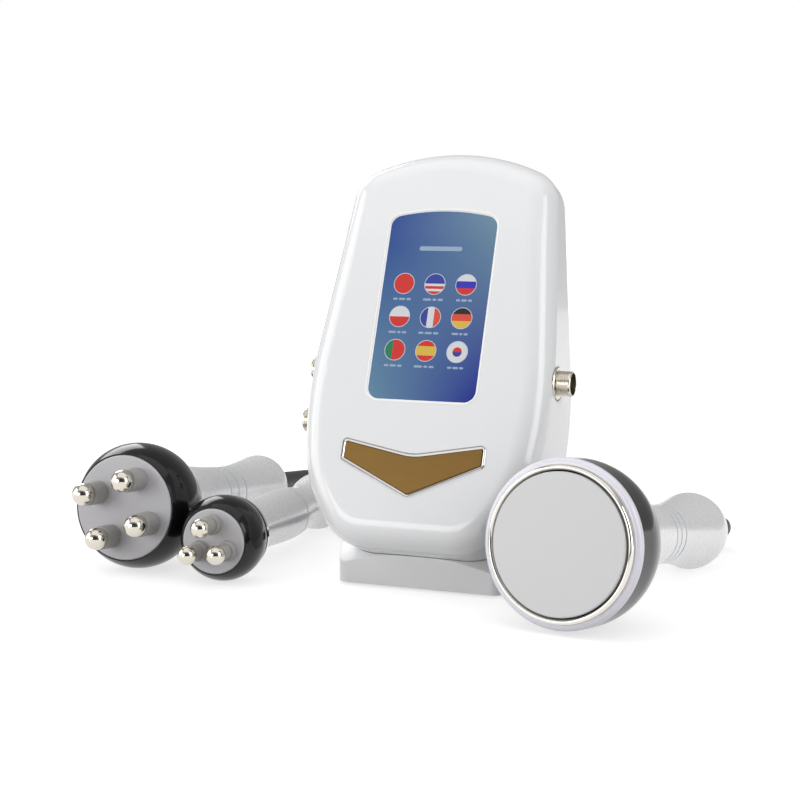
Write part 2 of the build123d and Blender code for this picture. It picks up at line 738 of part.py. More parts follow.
def make_sockets():
    nodes = {}
    names = ("socket_right_body", "socket_left_upper_body", "socket_left_lower_body")
    inserts, pins, nuts, washers = [], [], [], []
    for name, plane in zip(names, socket_planes()):
        nodes[name] = plane * socket_body()
        insert = socket_insert()
        for pin in socket_pins():
            insert -= pin
            pins.append(plane * pin)
        inserts.append(plane * insert)
        seat = -SOCKET_SEAT
        washers.append(plane * tube(WASHER_R, THREAD_R + SOCKET_HOLE_CLEARANCE, seat - WASHER_T, seat))
        nut = hexagon(NUT_ACROSS, seat - WASHER_T - NUT_T, seat - WASHER_T)
        nuts.append(plane * (nut - rod(THREAD_R, -THREAD_IN - OVERRUN, 0)))
    nodes["socket_inserts"] = inserts
    nodes["socket_pins"] = pins
    nodes["panel_nuts"] = washers + nuts
    return nodes


# Boards and drive parts

def make_boards():
    board_place = front_place(0, MAIN_BOARD_V, MAIN_BOARD_DEPTH)
    main = board_place * block(MAIN_BOARD_W, MAIN_BOARD_H, -BOARD_T, 0)
    for u, v in ((-CHIP_W, CHIP_W), (CHIP_W, 0), (0, -2 * CHIP_W)):
        main += board_place * Pos(u, v, 0) * block(CHIP_W, CHIP_W, -BOARD_T - CHIP_T, -BOARD_T)
    depth = WALL + DRIVER_BOARD_STANDOFF
    place = back_place(0, DRIVER_BOARD_V, depth)
    driver = place * block(DRIVER_BOARD_W, DRIVER_BOARD_H, -BOARD_T, 0)
    core_place = back_place(CORE_U, DRIVER_BOARD_V, depth + BOARD_T)
    core = block(CORE_W, CORE_H, -CORE_T, 0)
    bobbin = block(BOBBIN_W, BOBBIN_H, -BOBBIN_T, 0)
    core = fillet(core.edges().filter_by(Axis.Z), CORE_T / 5)
    transformer = core_place * (core + bobbin)
    sink_place = back_place(SINK_U, DRIVER_BOARD_V, depth + BOARD_T)
    sink = block(SINK_W, SINK_H, -SINK_BASE_T, 0)
    for index in range(SINK_FIN_COUNT):
        u = (index / (SINK_FIN_COUNT - 1) - 0.5) * (SINK_W - SINK_FIN_T)
        sink += Pos(u, 0, 0) * block(SINK_FIN_T, SINK_H, -SINK_BASE_T - SINK_FIN_DEPTH, 0)
    buzzer_v = MAIN_BOARD_V + MAIN_BOARD_H / 2 - BUZZER_TOP_INSET
    buzzer_place = front_place(BUZZER_U, buzzer_v, MAIN_BOARD_DEPTH + BOARD_T)
    buzzer = rod(BUZZER_R, -BUZZER_T, 0) - rod(BUZZER_R / 6, -BUZZER_T - OVERRUN, -BUZZER_T / 2)
    return {
        "main_board": main,
        "driver_board": driver,
        "transformer": transformer,
        "heat_sink": sink_place * sink,
        "buzzer": buzzer_place * buzzer,
    }


# Fan, inlet and switch. Local z points out of the rear cover.

def fan_frame():
    body = block(FAN_SIZE, FAN_SIZE, -FAN_DEPTH, 0)
    body = fillet(body.edges().filter_by(Axis.Z), FAN_CORNER_R)
    body -= rod(FAN_DUCT_R, -FAN_DEPTH - OVERRUN, OVERRUN)
    motor = rod(FAN_MOTOR_R, -FAN_DEPTH, -FAN_DEPTH + FAN_MOTOR_T)
    for index in range(FAN_BLADE_COUNT // 2):
        spoke = Pos(FAN_DUCT_R / 2, 0, 0) * block(FAN_DUCT_R + FAN_SPOKE_W, FAN_SPOKE_W, -FAN_DEPTH,
                                                  -FAN_DEPTH + FAN_MOTOR_T / 2)
        motor += Rot(0, 0, 360 / (FAN_BLADE_COUNT // 2) * index) * spoke
    body += motor
    body += rod(FAN_SHAFT_R, -FAN_DEPTH, -FAN_ROTOR_GAP - FAN_MOTOR_T)
    for x, y in fan_holes():
        body -= Pos(x, y, 0) * rod(SCREW_R, -FAN_DEPTH - OVERRUN, OVERRUN)
    return body


def fan_rotor():
    low = -FAN_DEPTH + FAN_MOTOR_T + FAN_ROTOR_GAP
    high = -FAN_ROTOR_GAP
    hub = rod(FAN_HUB_R, low, high)
    hub = fillet(hub.faces().sort_by(Axis.Z)[-1].edges(), FAN_MOTOR_T / 3)
    tip = FAN_DUCT_R - FAN_TIP_GAP
    blades = []
    for index in range(FAN_BLADE_COUNT):
        blade = Box(tip, FAN_BLADE_T, BIG / 10, align=(Align.MIN, Align.CENTER, Align.CENTER))
        blade = Pos(0, 0, (low + high) / 2) * Rot(FAN_BLADE_PITCH, 0, 0) * blade
        blades.append(Rot(0, 0, 360 / FAN_BLADE_COUNT * index) * blade)
    keep = rod(tip, low + FAN_ROTOR_GAP, high - FAN_ROTOR_GAP)
    for blade in blades:
        hub += blade & keep
    return hub - rod(FAN_SHAFT_R + FAN_SHAFT_CLEARANCE, -FAN_DEPTH, -FAN_MOTOR_T - FAN_ROTOR_GAP / 2)


def dc_inlet():
    body = rod(INLET_FLANGE_R, 0, INLET_FLANGE_T)
    body = fillet(body.faces().sort_by(Axis.Z)[-1].edges(), INLET_FLANGE_T / 4)
    body += rod(INLET_BODY_R, -INLET_BODY_L, 0)
    body -= rod(INLET_BORE_R, INLET_FLANGE_T - INLET_BORE_L, INLET_FLANGE_T + OVERRUN)
    return body + rod(INLET_PIN_R, INLET_FLANGE_T - INLET_BORE_L, 0)


def switch_frame():
    body = block(SWITCH_W, SWITCH_H, 0, SWITCH_BEZEL_T)
    body = fillet(body.edges().filter_by(Axis.Z), SWITCH_BEZEL_T)
    body = fillet(body.faces().sort_by(Axis.Z)[-1].edges(), SWITCH_BEZEL_T / 3)
    body += block(SWITCH_BODY_W, SWITCH_BODY_H, -SWITCH_BODY_L, 0)
    floor = -ROCKER_PIVOT_DEPTH - ROCKER_TRIM - 2 * ROCKER_GAP
    body -= block(ROCKER_W + 2 * ROCKER_GAP, 2 * (ROCKER_R + ROCKER_GAP), floor - ROCKER_TRIM,
                  SWITCH_BEZEL_T + OVERRUN)
    reach = ROCKER_W / 2 + ROCKER_PIN_L + ROCKER_GAP
    pin_hole = rod(ROCKER_PIN_R + ROCKER_PIN_CLEARANCE, -reach, reach)
    return body - Pos(0, 0, -ROCKER_PIVOT_DEPTH) * Rot(0, 90, 0) * pin_hole


def power_rocker():
    """Rocker with a hollow top that turns on two side pins, drawn with its lower end pressed."""
    body = Rot(0, 90, 0) * rod(ROCKER_R, -ROCKER_W / 2, ROCKER_W / 2)
    rise = ROCKER_PIVOT_DEPTH + SWITCH_BEZEL_T - ROCKER_GAP
    for sign in (-1, 1):
        above = Rot(sign * ROCKER_TILT, 0, 0) * block(BIG, BIG, 0, BIG)
        above = above & Pos(0, sign * BIG / 2, 0) * Box(BIG, BIG, BIG)
        body -= Pos(0, 0, rise) * above
    body -= block(BIG, BIG, -BIG, -ROCKER_TRIM)
    reach = ROCKER_W / 2 + ROCKER_PIN_L
    body += Rot(0, 90, 0) * rod(ROCKER_PIN_R, -reach, reach)
    return Pos(0, 0, -ROCKER_PIVOT_DEPTH) * Rot(ROCKER_TILT, 0, 0) * body


# Handpieces. Local z points forward out of the head, the sphere's centre is the origin.

def tilt(head_r, flare_r, flare_s):
    """Slope of a handle that lies with its round head and its flare on the table."""
    reach = math.hypot(flare_s, flare_r)
    return math.asin(head_r / reach) - math.atan2(flare_r, flare_s)


def handle_plane(x, y, heading, head_r, flare_r, flare_s):
    slope = tilt(head_r, flare_r, flare_s)
    a = math.radians(heading)
    forward = (-math.sin(a) * math.cos(slope), -math.cos(a) * math.cos(slope), math.sin(slope))
    return Plane(origin=(x, y, head_r + FLOOR_GAP), x_dir=(math.cos(a), -math.sin(a), 0), z_dir=forward)


def zone(radius, low, high):
    """Slice of a ball between two heights."""
    return Sphere(radius) & rod(radius + OVERRUN, low, high)


def oval(radius, depth):
    """Ellipse turned about the z axis."""
    half = Ellipse(radius, depth) & Rectangle(radius, 2 * depth, align=(Align.MIN, Align.CENTER))
    return revolve(Plane.XZ * half, Axis.Z)


def bowl(radius, depth, back):
    """Half an egg behind the head's centre, cut flat at the back."""
    last = math.asin(back / depth)
    angles = [last * step / BOWL_STEPS for step in range(BOWL_STEPS + 1)]
    points = [(radius * math.cos(angle), -depth * math.sin(angle)) for angle in angles]
    end = (-radius * math.sin(last), -depth * math.cos(last))
    wall = Spline(*points, tangents=((0, -1), end))
    rest = Polyline(points[-1], (0, -back), (0, 0), points[0])
    return revolve(Plane.XZ * make_face(wall + rest), Axis.Z)


def grip(shares, flare_r, start_s, end_s, reduce):
    """Handle turned from a curve; heights are negative because they run to the tail."""
    length = end_s - start_s
    points = [(share_r * flare_r - reduce, -start_s - share_s * length) for share_s, share_r in shares]
    curve = Spline(*points, (TAIL_R - reduce, -end_s))
    rest = Polyline((TAIL_R - reduce, -end_s), (0, -end_s), (0, -start_s), points[0])
    return revolve(Plane.XZ * make_face([curve, *rest.edges()]), Axis.Z)


def grooved_grip(shares, flare_r, start_s, end_s, groove_s, pitch, count):
    body = grip(shares, flare_r, start_s, end_s, 0)
    core = grip(shares, flare_r, start_s, end_s, GROOVE_DEPTH)
    for index in range(count):
        station = groove_s + index * pitch
        body -= rod(flare_r + OVERRUN, -station - GROOVE_W, -station) - core
    return body


def straight_boot(end_s):
    """Tapered boot in line with the handle."""
    boot = turned(((0, -end_s), (BOOT_ROOT_R, -end_s), (QUAD_BOOT_TIP_R, -end_s - QUAD_BOOT_L),
                   (0, -end_s - QUAD_BOOT_L)))
    tip = boot.faces().sort_by(Axis.Z)[0].edges()
    return fillet(tip, QUAD_BOOT_TIP_R / 4)


def bend_plane(end_s, turn):
    """Section plane of the bent boot after some degrees of its turn, in the handle's frame."""
    drop = math.radians(CAV_BOOT_DROP)
    a = math.radians(turn)
    side = Vector(-math.cos(drop), -math.sin(drop), 0)
    back = Vector(0, 0, -1)
    root = Vector(0, 0, -end_s - CAV_BOOT_COLLAR_L)
    point = root + (side * (1 - math.cos(a)) + back * math.sin(a)) * CAV_BOOT_BEND_R
    return Plane(origin=point, z_dir=side * math.sin(a) + back * math.cos(a))


def bent_boot(end_s):
    """Straight collar, then a tapered bend that turns the cord to the left and down."""
    sections = []
    for index in range(BOOT_SECTIONS):
        share = index / (BOOT_SECTIONS - 1)
        radius = BOOT_ROOT_R + (CAV_BOOT_TIP_R - BOOT_ROOT_R) * share
        sections.append(bend_plane(end_s, CAV_BOOT_TURN * share) * Circle(radius))
    return rod(BOOT_ROOT_R, -end_s - CAV_BOOT_COLLAR_L, -end_s) + loft(sections)


def gland(end_s):
    return tube(GLAND_R, CORD_R, -end_s - GLAND_L, -end_s)


def head_collar(head_r, bulge, shell, back, rim, face_r, face_a, face_t):
    """Ball shaped collar with a seat for the face and a hollow behind it."""
    seat = face_a - face_t
    body = zone(head_r, -back, 0) + (oval(head_r, bulge) & rod(head_r + OVERRUN, 0, rim))
    body -= zone(head_r - shell, -back + shell, seat - LEDGE_W)
    body -= rod(face_r + SEAT_CLEARANCE, seat, rim + OVERRUN)
    return body - rod(face_r - LEDGE_W, seat - LEDGE_W - OVERRUN, seat + OVERRUN)


def head_face(face_r, face_a, face_t, places, stem_r):
    body = rod(face_r, face_a - face_t, face_a)
    body = fillet(body.faces().sort_by(Axis.Z)[-1].edges(), FACE_EDGE_R)
    for place in places:
        body -= place * rod(stem_r, face_a - face_t - OVERRUN, face_a + OVERRUN)
    return body


def ring_places(count, pitch_r, angle):
    return [Rot(0, 0, angle + 360 / count * index) * Pos(pitch_r, 0, 0) for index in range(count)]


def electrode(ball_r, ball_a, face_a, face_t, stem_r):
    """Polished ball on a stem that goes through the post and the face."""
    ball = Pos(0, 0, face_a + ball_a) * Sphere(ball_r)
    return ball + rod(stem_r, face_a - face_t - STEM_DEPTH / 3, face_a + ball_a)


def quad_post(ball_r, ball_a, face_a, stem_r):
    body = rod(QUAD_POST_R, face_a, face_a + QUAD_POST_L)
    body = fillet(body.faces().sort_by(Axis.Z)[-1].edges(), POST_EDGE_R)
    body -= Pos(0, 0, face_a + ball_a) * Sphere(ball_r + BALL_SEAT_GAP)
    return body - rod(stem_r, face_a - OVERRUN, face_a + QUAD_POST_L + OVERRUN)


def tri_post(ball_r, ball_a, face_a, stem_r):
    body = rod(TRI_POST_R, face_a, face_a + TRI_POST_L)
    body = fillet(body.faces().sort_by(Axis.Z)[-1].edges(), POST_EDGE_R)
    body += rod(TRI_NECK_R, face_a, face_a + TRI_NECK_L)
    body -= Pos(0, 0, face_a + ball_a) * Sphere(ball_r + BALL_SEAT_GAP)
    return body - rod(stem_r, face_a - OVERRUN, face_a + TRI_NECK_L + OVERRUN)


def make_cavitation(plane):
    inner_r = CAV_HEAD_R - CAV_SHELL
    collar = bowl(CAV_HEAD_R, CAV_BOWL_DEPTH, CAV_BACK) + rod(CAV_HEAD_R, 0, CAV_RING_BACK)
    collar -= bowl(inner_r, CAV_BOWL_DEPTH - CAV_SHELL, CAV_BACK - CAV_SHELL)
    collar -= rod(inner_r, 0, CAV_RING_BACK + OVERRUN)
    white = rod(CAV_HEAD_R, CAV_RING_BACK, CAV_RING_FRONT)
    white = fillet(white.faces().sort_by(Axis.Z)[-1].edges(), CAV_RING_EDGE_R)
    white -= rod(CAV_RING_BORE_R, CAV_RING_BACK - OVERRUN, CAV_RING_FRONT + OVERRUN)
    bezel = turned(((CAV_BEZEL_BORE_R, CAV_BEZEL_BACK), (CAV_BEZEL_R, CAV_BEZEL_BACK),
                    (CAV_BEZEL_R, CAV_BEZEL_SHOULDER), (CAV_BEZEL_BORE_R, CAV_BEZEL_FRONT)))
    drop = CAV_BEZEL_FRONT - CAV_BEZEL_SHOULDER
    shoulder = [e for e in bezel.edges() if abs(e.center().Z - CAV_BEZEL_SHOULDER) < drop / 4]
    bezel = fillet(shoulder, drop / 3)
    disc = rod(CAV_DISC_R, CAV_DISC_BACK, CAV_DISC_FRONT)
    disc = chamfer(disc.faces().sort_by(Axis.Z)[-1].edges(), CAV_DISC_EDGE)
    horn_end = CAV_DISC_BACK - CAV_HORN_L
    horn = turned(((0, CAV_DISC_BACK), (CAV_HORN_R, CAV_DISC_BACK), (CAV_HORN_R, CAV_DISC_BACK - CAV_HORN_L / 3),
                   (CAV_HORN_WAIST_R, horn_end), (0, horn_end)))
    piezo = rod(CAV_PIEZO_R, horn_end - CAV_PIEZO_T, horn_end)
    low = horn_end - CAV_PIEZO_T
    mass = rod(CAV_HORN_WAIST_R, low - CAV_PIEZO_T - CAV_MASS_L, low - CAV_PIEZO_T)
    piezo_two = rod(CAV_PIEZO_R, low - CAV_PIEZO_T, low)
    handle = grooved_grip(CAV_GRIP_SHARES, CAV_FLARE_R, CAV_BACK, CAV_GRIP_END,
                          CAV_GROOVE_S, CAV_GROOVE_PITCH, GROOVE_COUNT)
    return {
        "cav_collar": plane * collar,
        "cav_white_ring": plane * white,
        "cav_chrome_ring": plane * bezel,
        "cav_disc": plane * disc,
        "cav_transducer": [plane * horn, plane * piezo, plane * piezo_two, plane * mass],
        "cav_handle": plane * handle,
        "cav_boot": plane * bent_boot(CAV_GRIP_END),
    }


def make_quadrupolar(plane):
    places = ring_places(QUAD_POST_COUNT, QUAD_POST_PITCH_R, QUAD_POST_ANGLE)
    collar = head_collar(QUAD_HEAD_R, QUAD_BULGE, QUAD_SHELL, QUAD_BACK, QUAD_RIM,
                         QUAD_FACE_R, QUAD_FACE_A, QUAD_FACE_T)
    face = head_face(QUAD_FACE_R, QUAD_FACE_A, QUAD_FACE_T, places, QUAD_STEM_R)
    post = quad_post(QUAD_BALL_R, QUAD_BALL_A, QUAD_FACE_A, QUAD_STEM_R)
    ball = electrode(QUAD_BALL_R, QUAD_BALL_A, QUAD_FACE_A, QUAD_FACE_T, QUAD_STEM_R)
    handle = grooved_grip(QUAD_GRIP_SHARES, QUAD_FLARE_R, QUAD_BACK, QUAD_GRIP_END,
                          QUAD_GROOVE_S, QUAD_GROOVE_PITCH, GROOVE_COUNT)
    return {
        "quad_collar": plane * collar,
        "quad_face": plane * face,
        "quad_posts": [plane * place * post for place in places],
        "quad_electrodes": [plane * place * ball for place in places],
        "quad_handle": plane * handle,
        "quad_boot": plane * straight_boot(QUAD_GRIP_END),
    }


def make_tripolar(plane):
    places = ring_places(TRI_POST_COUNT, TRI_POST_PITCH_R, TRI_POST_ANGLE)
    collar = head_collar(TRI_HEAD_R, TRI_BULGE, TRI_SHELL, TRI_BACK, TRI_RIM,
                         TRI_FACE_R, TRI_FACE_A, TRI_FACE_T)
    face = head_face(TRI_FACE_R, TRI_FACE_A, TRI_FACE_T, places, TRI_STEM_R)
    post = tri_post(TRI_BALL_R, TRI_BALL_A, TRI_FACE_A, TRI_STEM_R)
    ball = electrode(TRI_BALL_R, TRI_BALL_A, TRI_FACE_A, TRI_FACE_T, TRI_STEM_R)
    lip = TRI_BACK + TRI_RING_T
    start = lip + TRI_RING_CONE
    root_r = TRI_GRIP_SHARES[0][1] * TRI_FLARE_R
    ring = turned(((0, -TRI_BACK), (TRI_RING_R, -TRI_BACK), (TRI_RING_R, -lip),
                   (root_r, -start), (0, -start)))
    handle = grooved_grip(TRI_GRIP_SHARES, TRI_FLARE_R, start, TRI_GRIP_END, TRI_GROOVE_S, 0, 1)
    return {
        "tri_collar": plane * collar,
        "tri_face": plane * face,
        "tri_posts": [plane * place * post for place in places],
        "tri_electrodes": [plane * place * ball for place in places],
        "tri_back_ring": plane * ring,
        "tri_handle": plane * handle,
        "tri_gland": plane * gland(TRI_GRIP_END),
    }


# Cords

def coil_point(coil, turn):
    """Point on the coil's middle line after so many turns from its outer start."""
    x, y, outer, start, sense, turns = coil
    bend = COIL_REVERSAL_SHARE
    inward = math.hypot(COIL_TURNS_IN, bend) - math.hypot(turn - COIL_TURNS_IN, bend)
    radius = outer - COIL_PITCH * inward
    climb = min(max((turn - COIL_TURNS_IN) / CLIMB_SHARE + 1 / 2, 0), 1)
    z = CORD_R + CORD_LIFT + COIL_LAYER * climb * climb * (3 - 2 * climb)
    angle = math.radians(start + sense * 360 * turn)
    return Vector(x + radius * math.cos(angle), y + radius * math.sin(angle), z)


def coil_tangent(coil, turn):
    small = 1 / 720
    return (coil_point(coil, turn + small) - coil_point(coil, turn - small)).normalized()


def biarc(p0, t0, p1, t1):
    """Two arcs that join two points with the given directions."""
    v = p1 - p0
    along = v.dot(t0 + t1)
    k = 2 * (1 - t0.dot(t1))
    d = (math.sqrt(along ** 2 + k * v.dot(v)) - along) / k
    middle = (p0 + t0 * d + p1 - t1 * d) * (1 / 2)
    return [TangentArc(p0, middle, tangent=t0), TangentArc(p1, middle, tangent=-t1)]


def coil_ends(coil):
    """Free ends of the coil, each with the direction in which the cord runs there."""
    turns = coil[-1]
    first = coil_tangent(coil, 0)
    last = coil_tangent(coil, turns)
    return coil_point(coil, 0) - first * COIL_STUB, first, coil_point(coil, turns) + last * COIL_STUB, last


def make_coil(coil, name):
    turns = coil[-1]
    count = round(turns * NODES_PER_TURN)
    points = [coil_point(coil, turns * index / count) for index in range(count + 1)]
    tangents = [coil_tangent(coil, turns * index / count) for index in range(count + 1)]
    head, first, tail, last = coil_ends(coil)
    edges = [Line(head, points[0])]
    for index in range(count):
        edges += biarc(points[index], tangents[index], points[index + 1], tangents[index + 1])
    edges.append(Line(points[-1], tail))
    path = Wire(edges)
    body = sweep(Plane(origin=head, z_dir=first) * Circle(CORD_R), path=path)
    report_coil(coil, name, path, body)
    return body


def report_coil(coil, name, path, body):
    turns = coil[-1]
    per_turn = 48
    samples = [coil_point(coil, step / per_turn) for step in range(round(per_turn * turns) + 1)]
    least = min((samples[i] - samples[j]).length
                for i in range(len(samples)) for j in range(i + per_turn // 2, len(samples)))
    section = math.pi * CORD_R ** 2
    print(name, "coil length", round(path.length, 1), "least gap", round(least - 2 * CORD_R, 2),
          "volume ratio", round(body.volume / (section * path.length), 4))


def tie(coil, angle):
    """Closed strap round the coil's turns with a short tail."""
    x, y, outer, start, sense, turns = coil
    inner = outer - COIL_PITCH * (math.hypot(COIL_TURNS_IN, COIL_REVERSAL_SHARE) - COIL_REVERSAL_SHARE)
    low_r = inner - CORD_R - TIE_CLEARANCE
    high_r = outer + CORD_R + TIE_CLEARANCE
    low_z = CORD_LIFT - TIE_CLEARANCE
    high_z = CORD_LIFT + 2 * CORD_R + COIL_LAYER + TIE_CLEARANCE
    width = high_r - low_r
    height = high_z - low_z
    around = RectangleRounded(width + 2 * TIE_T, height + 2 * TIE_T, TIE_CORNER_R + TIE_T)
    strap = extrude(around - RectangleRounded(width, height, TIE_CORNER_R), amount=TIE_W / 2, both=True)
    tail = Pos(-TIE_TAIL / 2, (height + 3 * TIE_T) / 2, 0) * Box(TIE_TAIL, TIE_T, TIE_W - TIE_T)
    body = Pos((low_r + high_r) / 2, 0, (low_z + high_z) / 2) * Rot(90, 0, 0) * (strap + tail)
    return Pos(x, y, 0) * Rot(0, 0, angle) * body


def bend_radii(points):
    """Radius at each inner point of a route, as large as its two runs allow."""
    radii = []
    for a, b, c in zip(points, points[1:], points[2:]):
        turn = math.radians((b - a).get_angle(c - b))
        radii.append(BEND_SHARE * min((b - a).length, (c - b).length) / math.tan(turn / 2))
    return radii


def cord_tube(points, name):
    points = [Vector(*p) for p in points]
    radii = bend_radii(points)
    path = FilletPolyline(*points, radius=radii)
    section = Plane(origin=points[0], z_dir=points[1] - points[0]) * Circle(CORD_R)
    body = sweep(section, path=path)
    runs = [round((b - a).length, 1) for a, b in zip(points, points[1:])]
    print(name, "length", round(path.length, 1), "runs", runs, "radii", [round(r, 1) for r in radii],
          "volume ratio", round(body.volume / (math.pi * CORD_R ** 2 * path.length), 4))
    return body


def plug_parts(entry, direction):
    """Metal plug with its cord entry at the local origin, pointing along local z."""
    plane = Plane(origin=entry, z_dir=direction)
    body = turned(((0, 0), (PLUG_REAR_R, 0), (PLUG_R, PLUG_CONE_L), (PLUG_R, PLUG_L),
                   (PLUG_NOSE_R, PLUG_L), (PLUG_NOSE_R, PLUG_L + PLUG_NOSE_L), (0, PLUG_L + PLUG_NOSE_L)))
    shoulder = PLUG_L + RING_SHOULDER_GAP
    ring = tube(RING_R, PLUG_R + RING_CLEARANCE, RING_START, shoulder)
    ring += tube(RING_R, PLUG_NOSE_R + RING_CLEARANCE, shoulder, shoulder + RING_LIP_T)
    ring += tube(RING_R, THREAD_R + RING_CLEARANCE, shoulder + RING_LIP_T, RING_START + RING_L)
    rims = [e for e in ring.edges().filter_by(GeomType.CIRCLE) if e.radius > THREAD_R + RING_CLEARANCE * 2]
    ring = chamfer(rims, (RING_R - THREAD_R) / 4)
    return plane * body, plane * ring


def lay_cords(cav_plane, quad_plane):
    """Routes of the free stretches, chosen by hand, then the coils, ties and plugs."""
    quad_coil = (QUAD_COIL_X, QUAD_COIL_Y, QUAD_COIL_R, QUAD_COIL_START, -1, QUAD_COIL_TURNS)
    cav_coil = (CAV_COIL_X, CAV_COIL_Y, CAV_COIL_R, CAV_COIL_START, 1, CAV_COIL_TURNS)
    quad_exit = quad_plane.from_local_coords((0, 0, -QUAD_GRIP_END - QUAD_BOOT_L))
    quad_head, quad_in, quad_tail, quad_out = coil_ends(quad_coil)
    quad_route = [
        quad_exit,
        quad_exit - quad_plane.z_dir * 13,
        (-150.8, 201.2, 7.4),
        (-136.3, 211.6, 4.9),
        (-118.2, 212.9, 3.3),
        (-102.2, 204.2, 2.8),
        (-93.0, 188.0, 2.7),
        (-88.8, 168.0, 2.7),
        (-86.0, 150.5, 2.7),
        (-80.9, 136.3, 2.7),
        (-70.9, 125.2, 3.0),
        quad_head - quad_in * 12,
        quad_head,
    ]
    quad_lead = [
        quad_tail,
        quad_tail + quad_out * 9,
        (-79.4, 107.8, PLUG_AXIS_Z),
        (-82.9, 117.2, PLUG_AXIS_Z),
    ]
    cav_bend = bend_plane(CAV_GRIP_END, CAV_BOOT_TURN)
    cav_exit = cav_plane.from_local_coords(cav_bend.origin)
    cav_dir = (cav_plane.from_local_coords(cav_bend.origin + cav_bend.z_dir) - cav_exit).normalized()
    cav_head, cav_in, cav_tail, cav_out = coil_ends(cav_coil)
    cav_route = [
        cav_exit,
        cav_exit + cav_dir * 9,
        (78.0, 127.2, 2.9),
        (68.5, 125.0, 2.9),
        cav_head - cav_in * 14,
        cav_head,
    ]
    cav_lead = [
        cav_tail,
        cav_tail + cav_out * 9,
        (16.2, 123.6, PLUG_AXIS_Z),
        (7.0, 126.8, PLUG_AXIS_Z),
    ]
    nodes = {}
    for name, route, lead, coil, angle in (
        ("quad", quad_route, quad_lead, quad_coil, QUAD_TIE_ANGLE),
        ("cav", cav_route, cav_lead, cav_coil, CAV_TIE_ANGLE),
    ):
        nodes[name + "_cord"] = cord_tube(route, name + "_cord")
        nodes[name + "_cord_coil"] = make_coil(coil, name)
        nodes[name + "_cord_lead"] = cord_tube(lead, name + "_cord_lead")
        nodes[name + "_tie"] = tie(coil, angle)
        end = Vector(*lead[-1])
        nodes[name + "_plug"], nodes[name + "_plug_ring"] = plug_parts(end, end - Vector(*lead[-2]))
    return nodes


def make_screws():
    housing = [back_place(u, v, REAR_COVER_DEPTH - WALL) * screw(SCREW_L, SCREW_HEAD_T) for u, v in BOSS_PLACES]
    up = Rot(180, 0, 0)
    stand = []
    for x in (-STAND_SCREW_U, STAND_SCREW_U):
        place = Pos(x, STAND_SCREW_Y, STAND_CAVITY_TOP)
        stand.append(place * up * screw(STAND_SCREW_L, SCREW_HEAD_T))
    plate = []
    for x, y in plate_screw_places():
        plate.append(Pos(x, y, STAND_GAP_Z + PLATE_HEAD_T) * up * screw(PLATE_SCREW_L, PLATE_HEAD_T))
    fan = []
    for x, y in fan_holes():
        fan.append(back_place(0, FAN_V, 0) * Pos(x, y, 0) * screw(FAN_SCREW_L, SCREW_HEAD_T))
    return {
        "rear_screws": housing + fan,
        "stand_screws": stand + plate,
    }


def main():
    nodes = {}
    nodes["front_cover"], nodes["rear_cover"] = make_covers()
    nodes["touch_glass"], nodes["lcd_module"] = make_screen()
    nodes["badge_frame"], nodes["badge_plate"] = make_badge()
    nodes["stand_base"], nodes["stand_bottom_plate"], nodes["anti_slip_pad"] = make_stand()
    nodes.update(make_screws())
    nodes.update(make_sockets())
    nodes.update(make_boards())
    fan_place = back_place(0, FAN_V, WALL)
    nodes["fan_frame"] = fan_place * fan_frame()
    nodes["fan_rotor"] = fan_place * fan_rotor()
    nodes["dc_inlet"] = back_place(INLET_U, INLET_V, 0) * dc_inlet()
    nut = hexagon(2 * INLET_NUT_R, -WALL - INLET_NUT_T, -WALL) - rod(INLET_BODY_R, -BIG, 0)
    nodes["panel_nuts"].append(back_place(INLET_U, INLET_V, 0) * nut)
    nodes["switch_frame"] = back_place(SWITCH_U, SWITCH_V, 0) * switch_frame()
    nodes["power_rocker"] = back_place(SWITCH_U, SWITCH_V, 0) * power_rocker()
    cav_plane = handle_plane(CAV_X, CAV_Y, CAV_HEADING, CAV_HEAD_R, CAV_FLARE_R, CAV_FLARE_S)
    quad_plane = handle_plane(QUAD_X, QUAD_Y, QUAD_HEADING, QUAD_HEAD_R, QUAD_FLARE_R, QUAD_FLARE_S)
    tri_plane = handle_plane(TRI_X, TRI_Y, TRI_HEADING, TRI_HEAD_R, TRI_FLARE_R, TRI_FLARE_S)
    nodes.update(make_cavitation(cav_plane))
    nodes.update(make_quadrupolar(quad_plane))
    nodes.update(make_tripolar(tri_plane))
    nodes.update(lay_cords(cav_plane, quad_plane))

    os.makedirs("parts", exist_ok=True)
    for name, shape in nodes.items():
        solids = shape if isinstance(shape, list) else [shape]
        export_step(Compound(children=[s for part in solids for s in part.solids()]), f"parts/{name}.step")


main()
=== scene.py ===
import math

import bmesh
import bpy
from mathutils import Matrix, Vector


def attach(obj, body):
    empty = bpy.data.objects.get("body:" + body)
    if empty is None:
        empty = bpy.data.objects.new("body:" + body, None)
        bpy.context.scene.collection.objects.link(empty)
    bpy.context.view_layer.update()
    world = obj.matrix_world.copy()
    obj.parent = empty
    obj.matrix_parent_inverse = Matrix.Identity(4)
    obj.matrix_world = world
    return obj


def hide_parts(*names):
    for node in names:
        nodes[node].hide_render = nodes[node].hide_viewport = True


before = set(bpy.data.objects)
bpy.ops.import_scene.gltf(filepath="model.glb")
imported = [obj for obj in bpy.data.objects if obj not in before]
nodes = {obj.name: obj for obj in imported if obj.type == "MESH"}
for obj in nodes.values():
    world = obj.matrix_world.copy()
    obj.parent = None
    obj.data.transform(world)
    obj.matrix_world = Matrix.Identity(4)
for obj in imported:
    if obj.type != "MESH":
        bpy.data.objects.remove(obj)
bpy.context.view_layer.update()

MM = 0.001
col = bpy.context.scene.collection


# Shader nodes

def add(tree, kind, **inputs):
    """New shader node. The names of its inputs have underscores for spaces."""
    node = tree.nodes.new("ShaderNode" + kind)
    fill(node, **inputs)
    return node


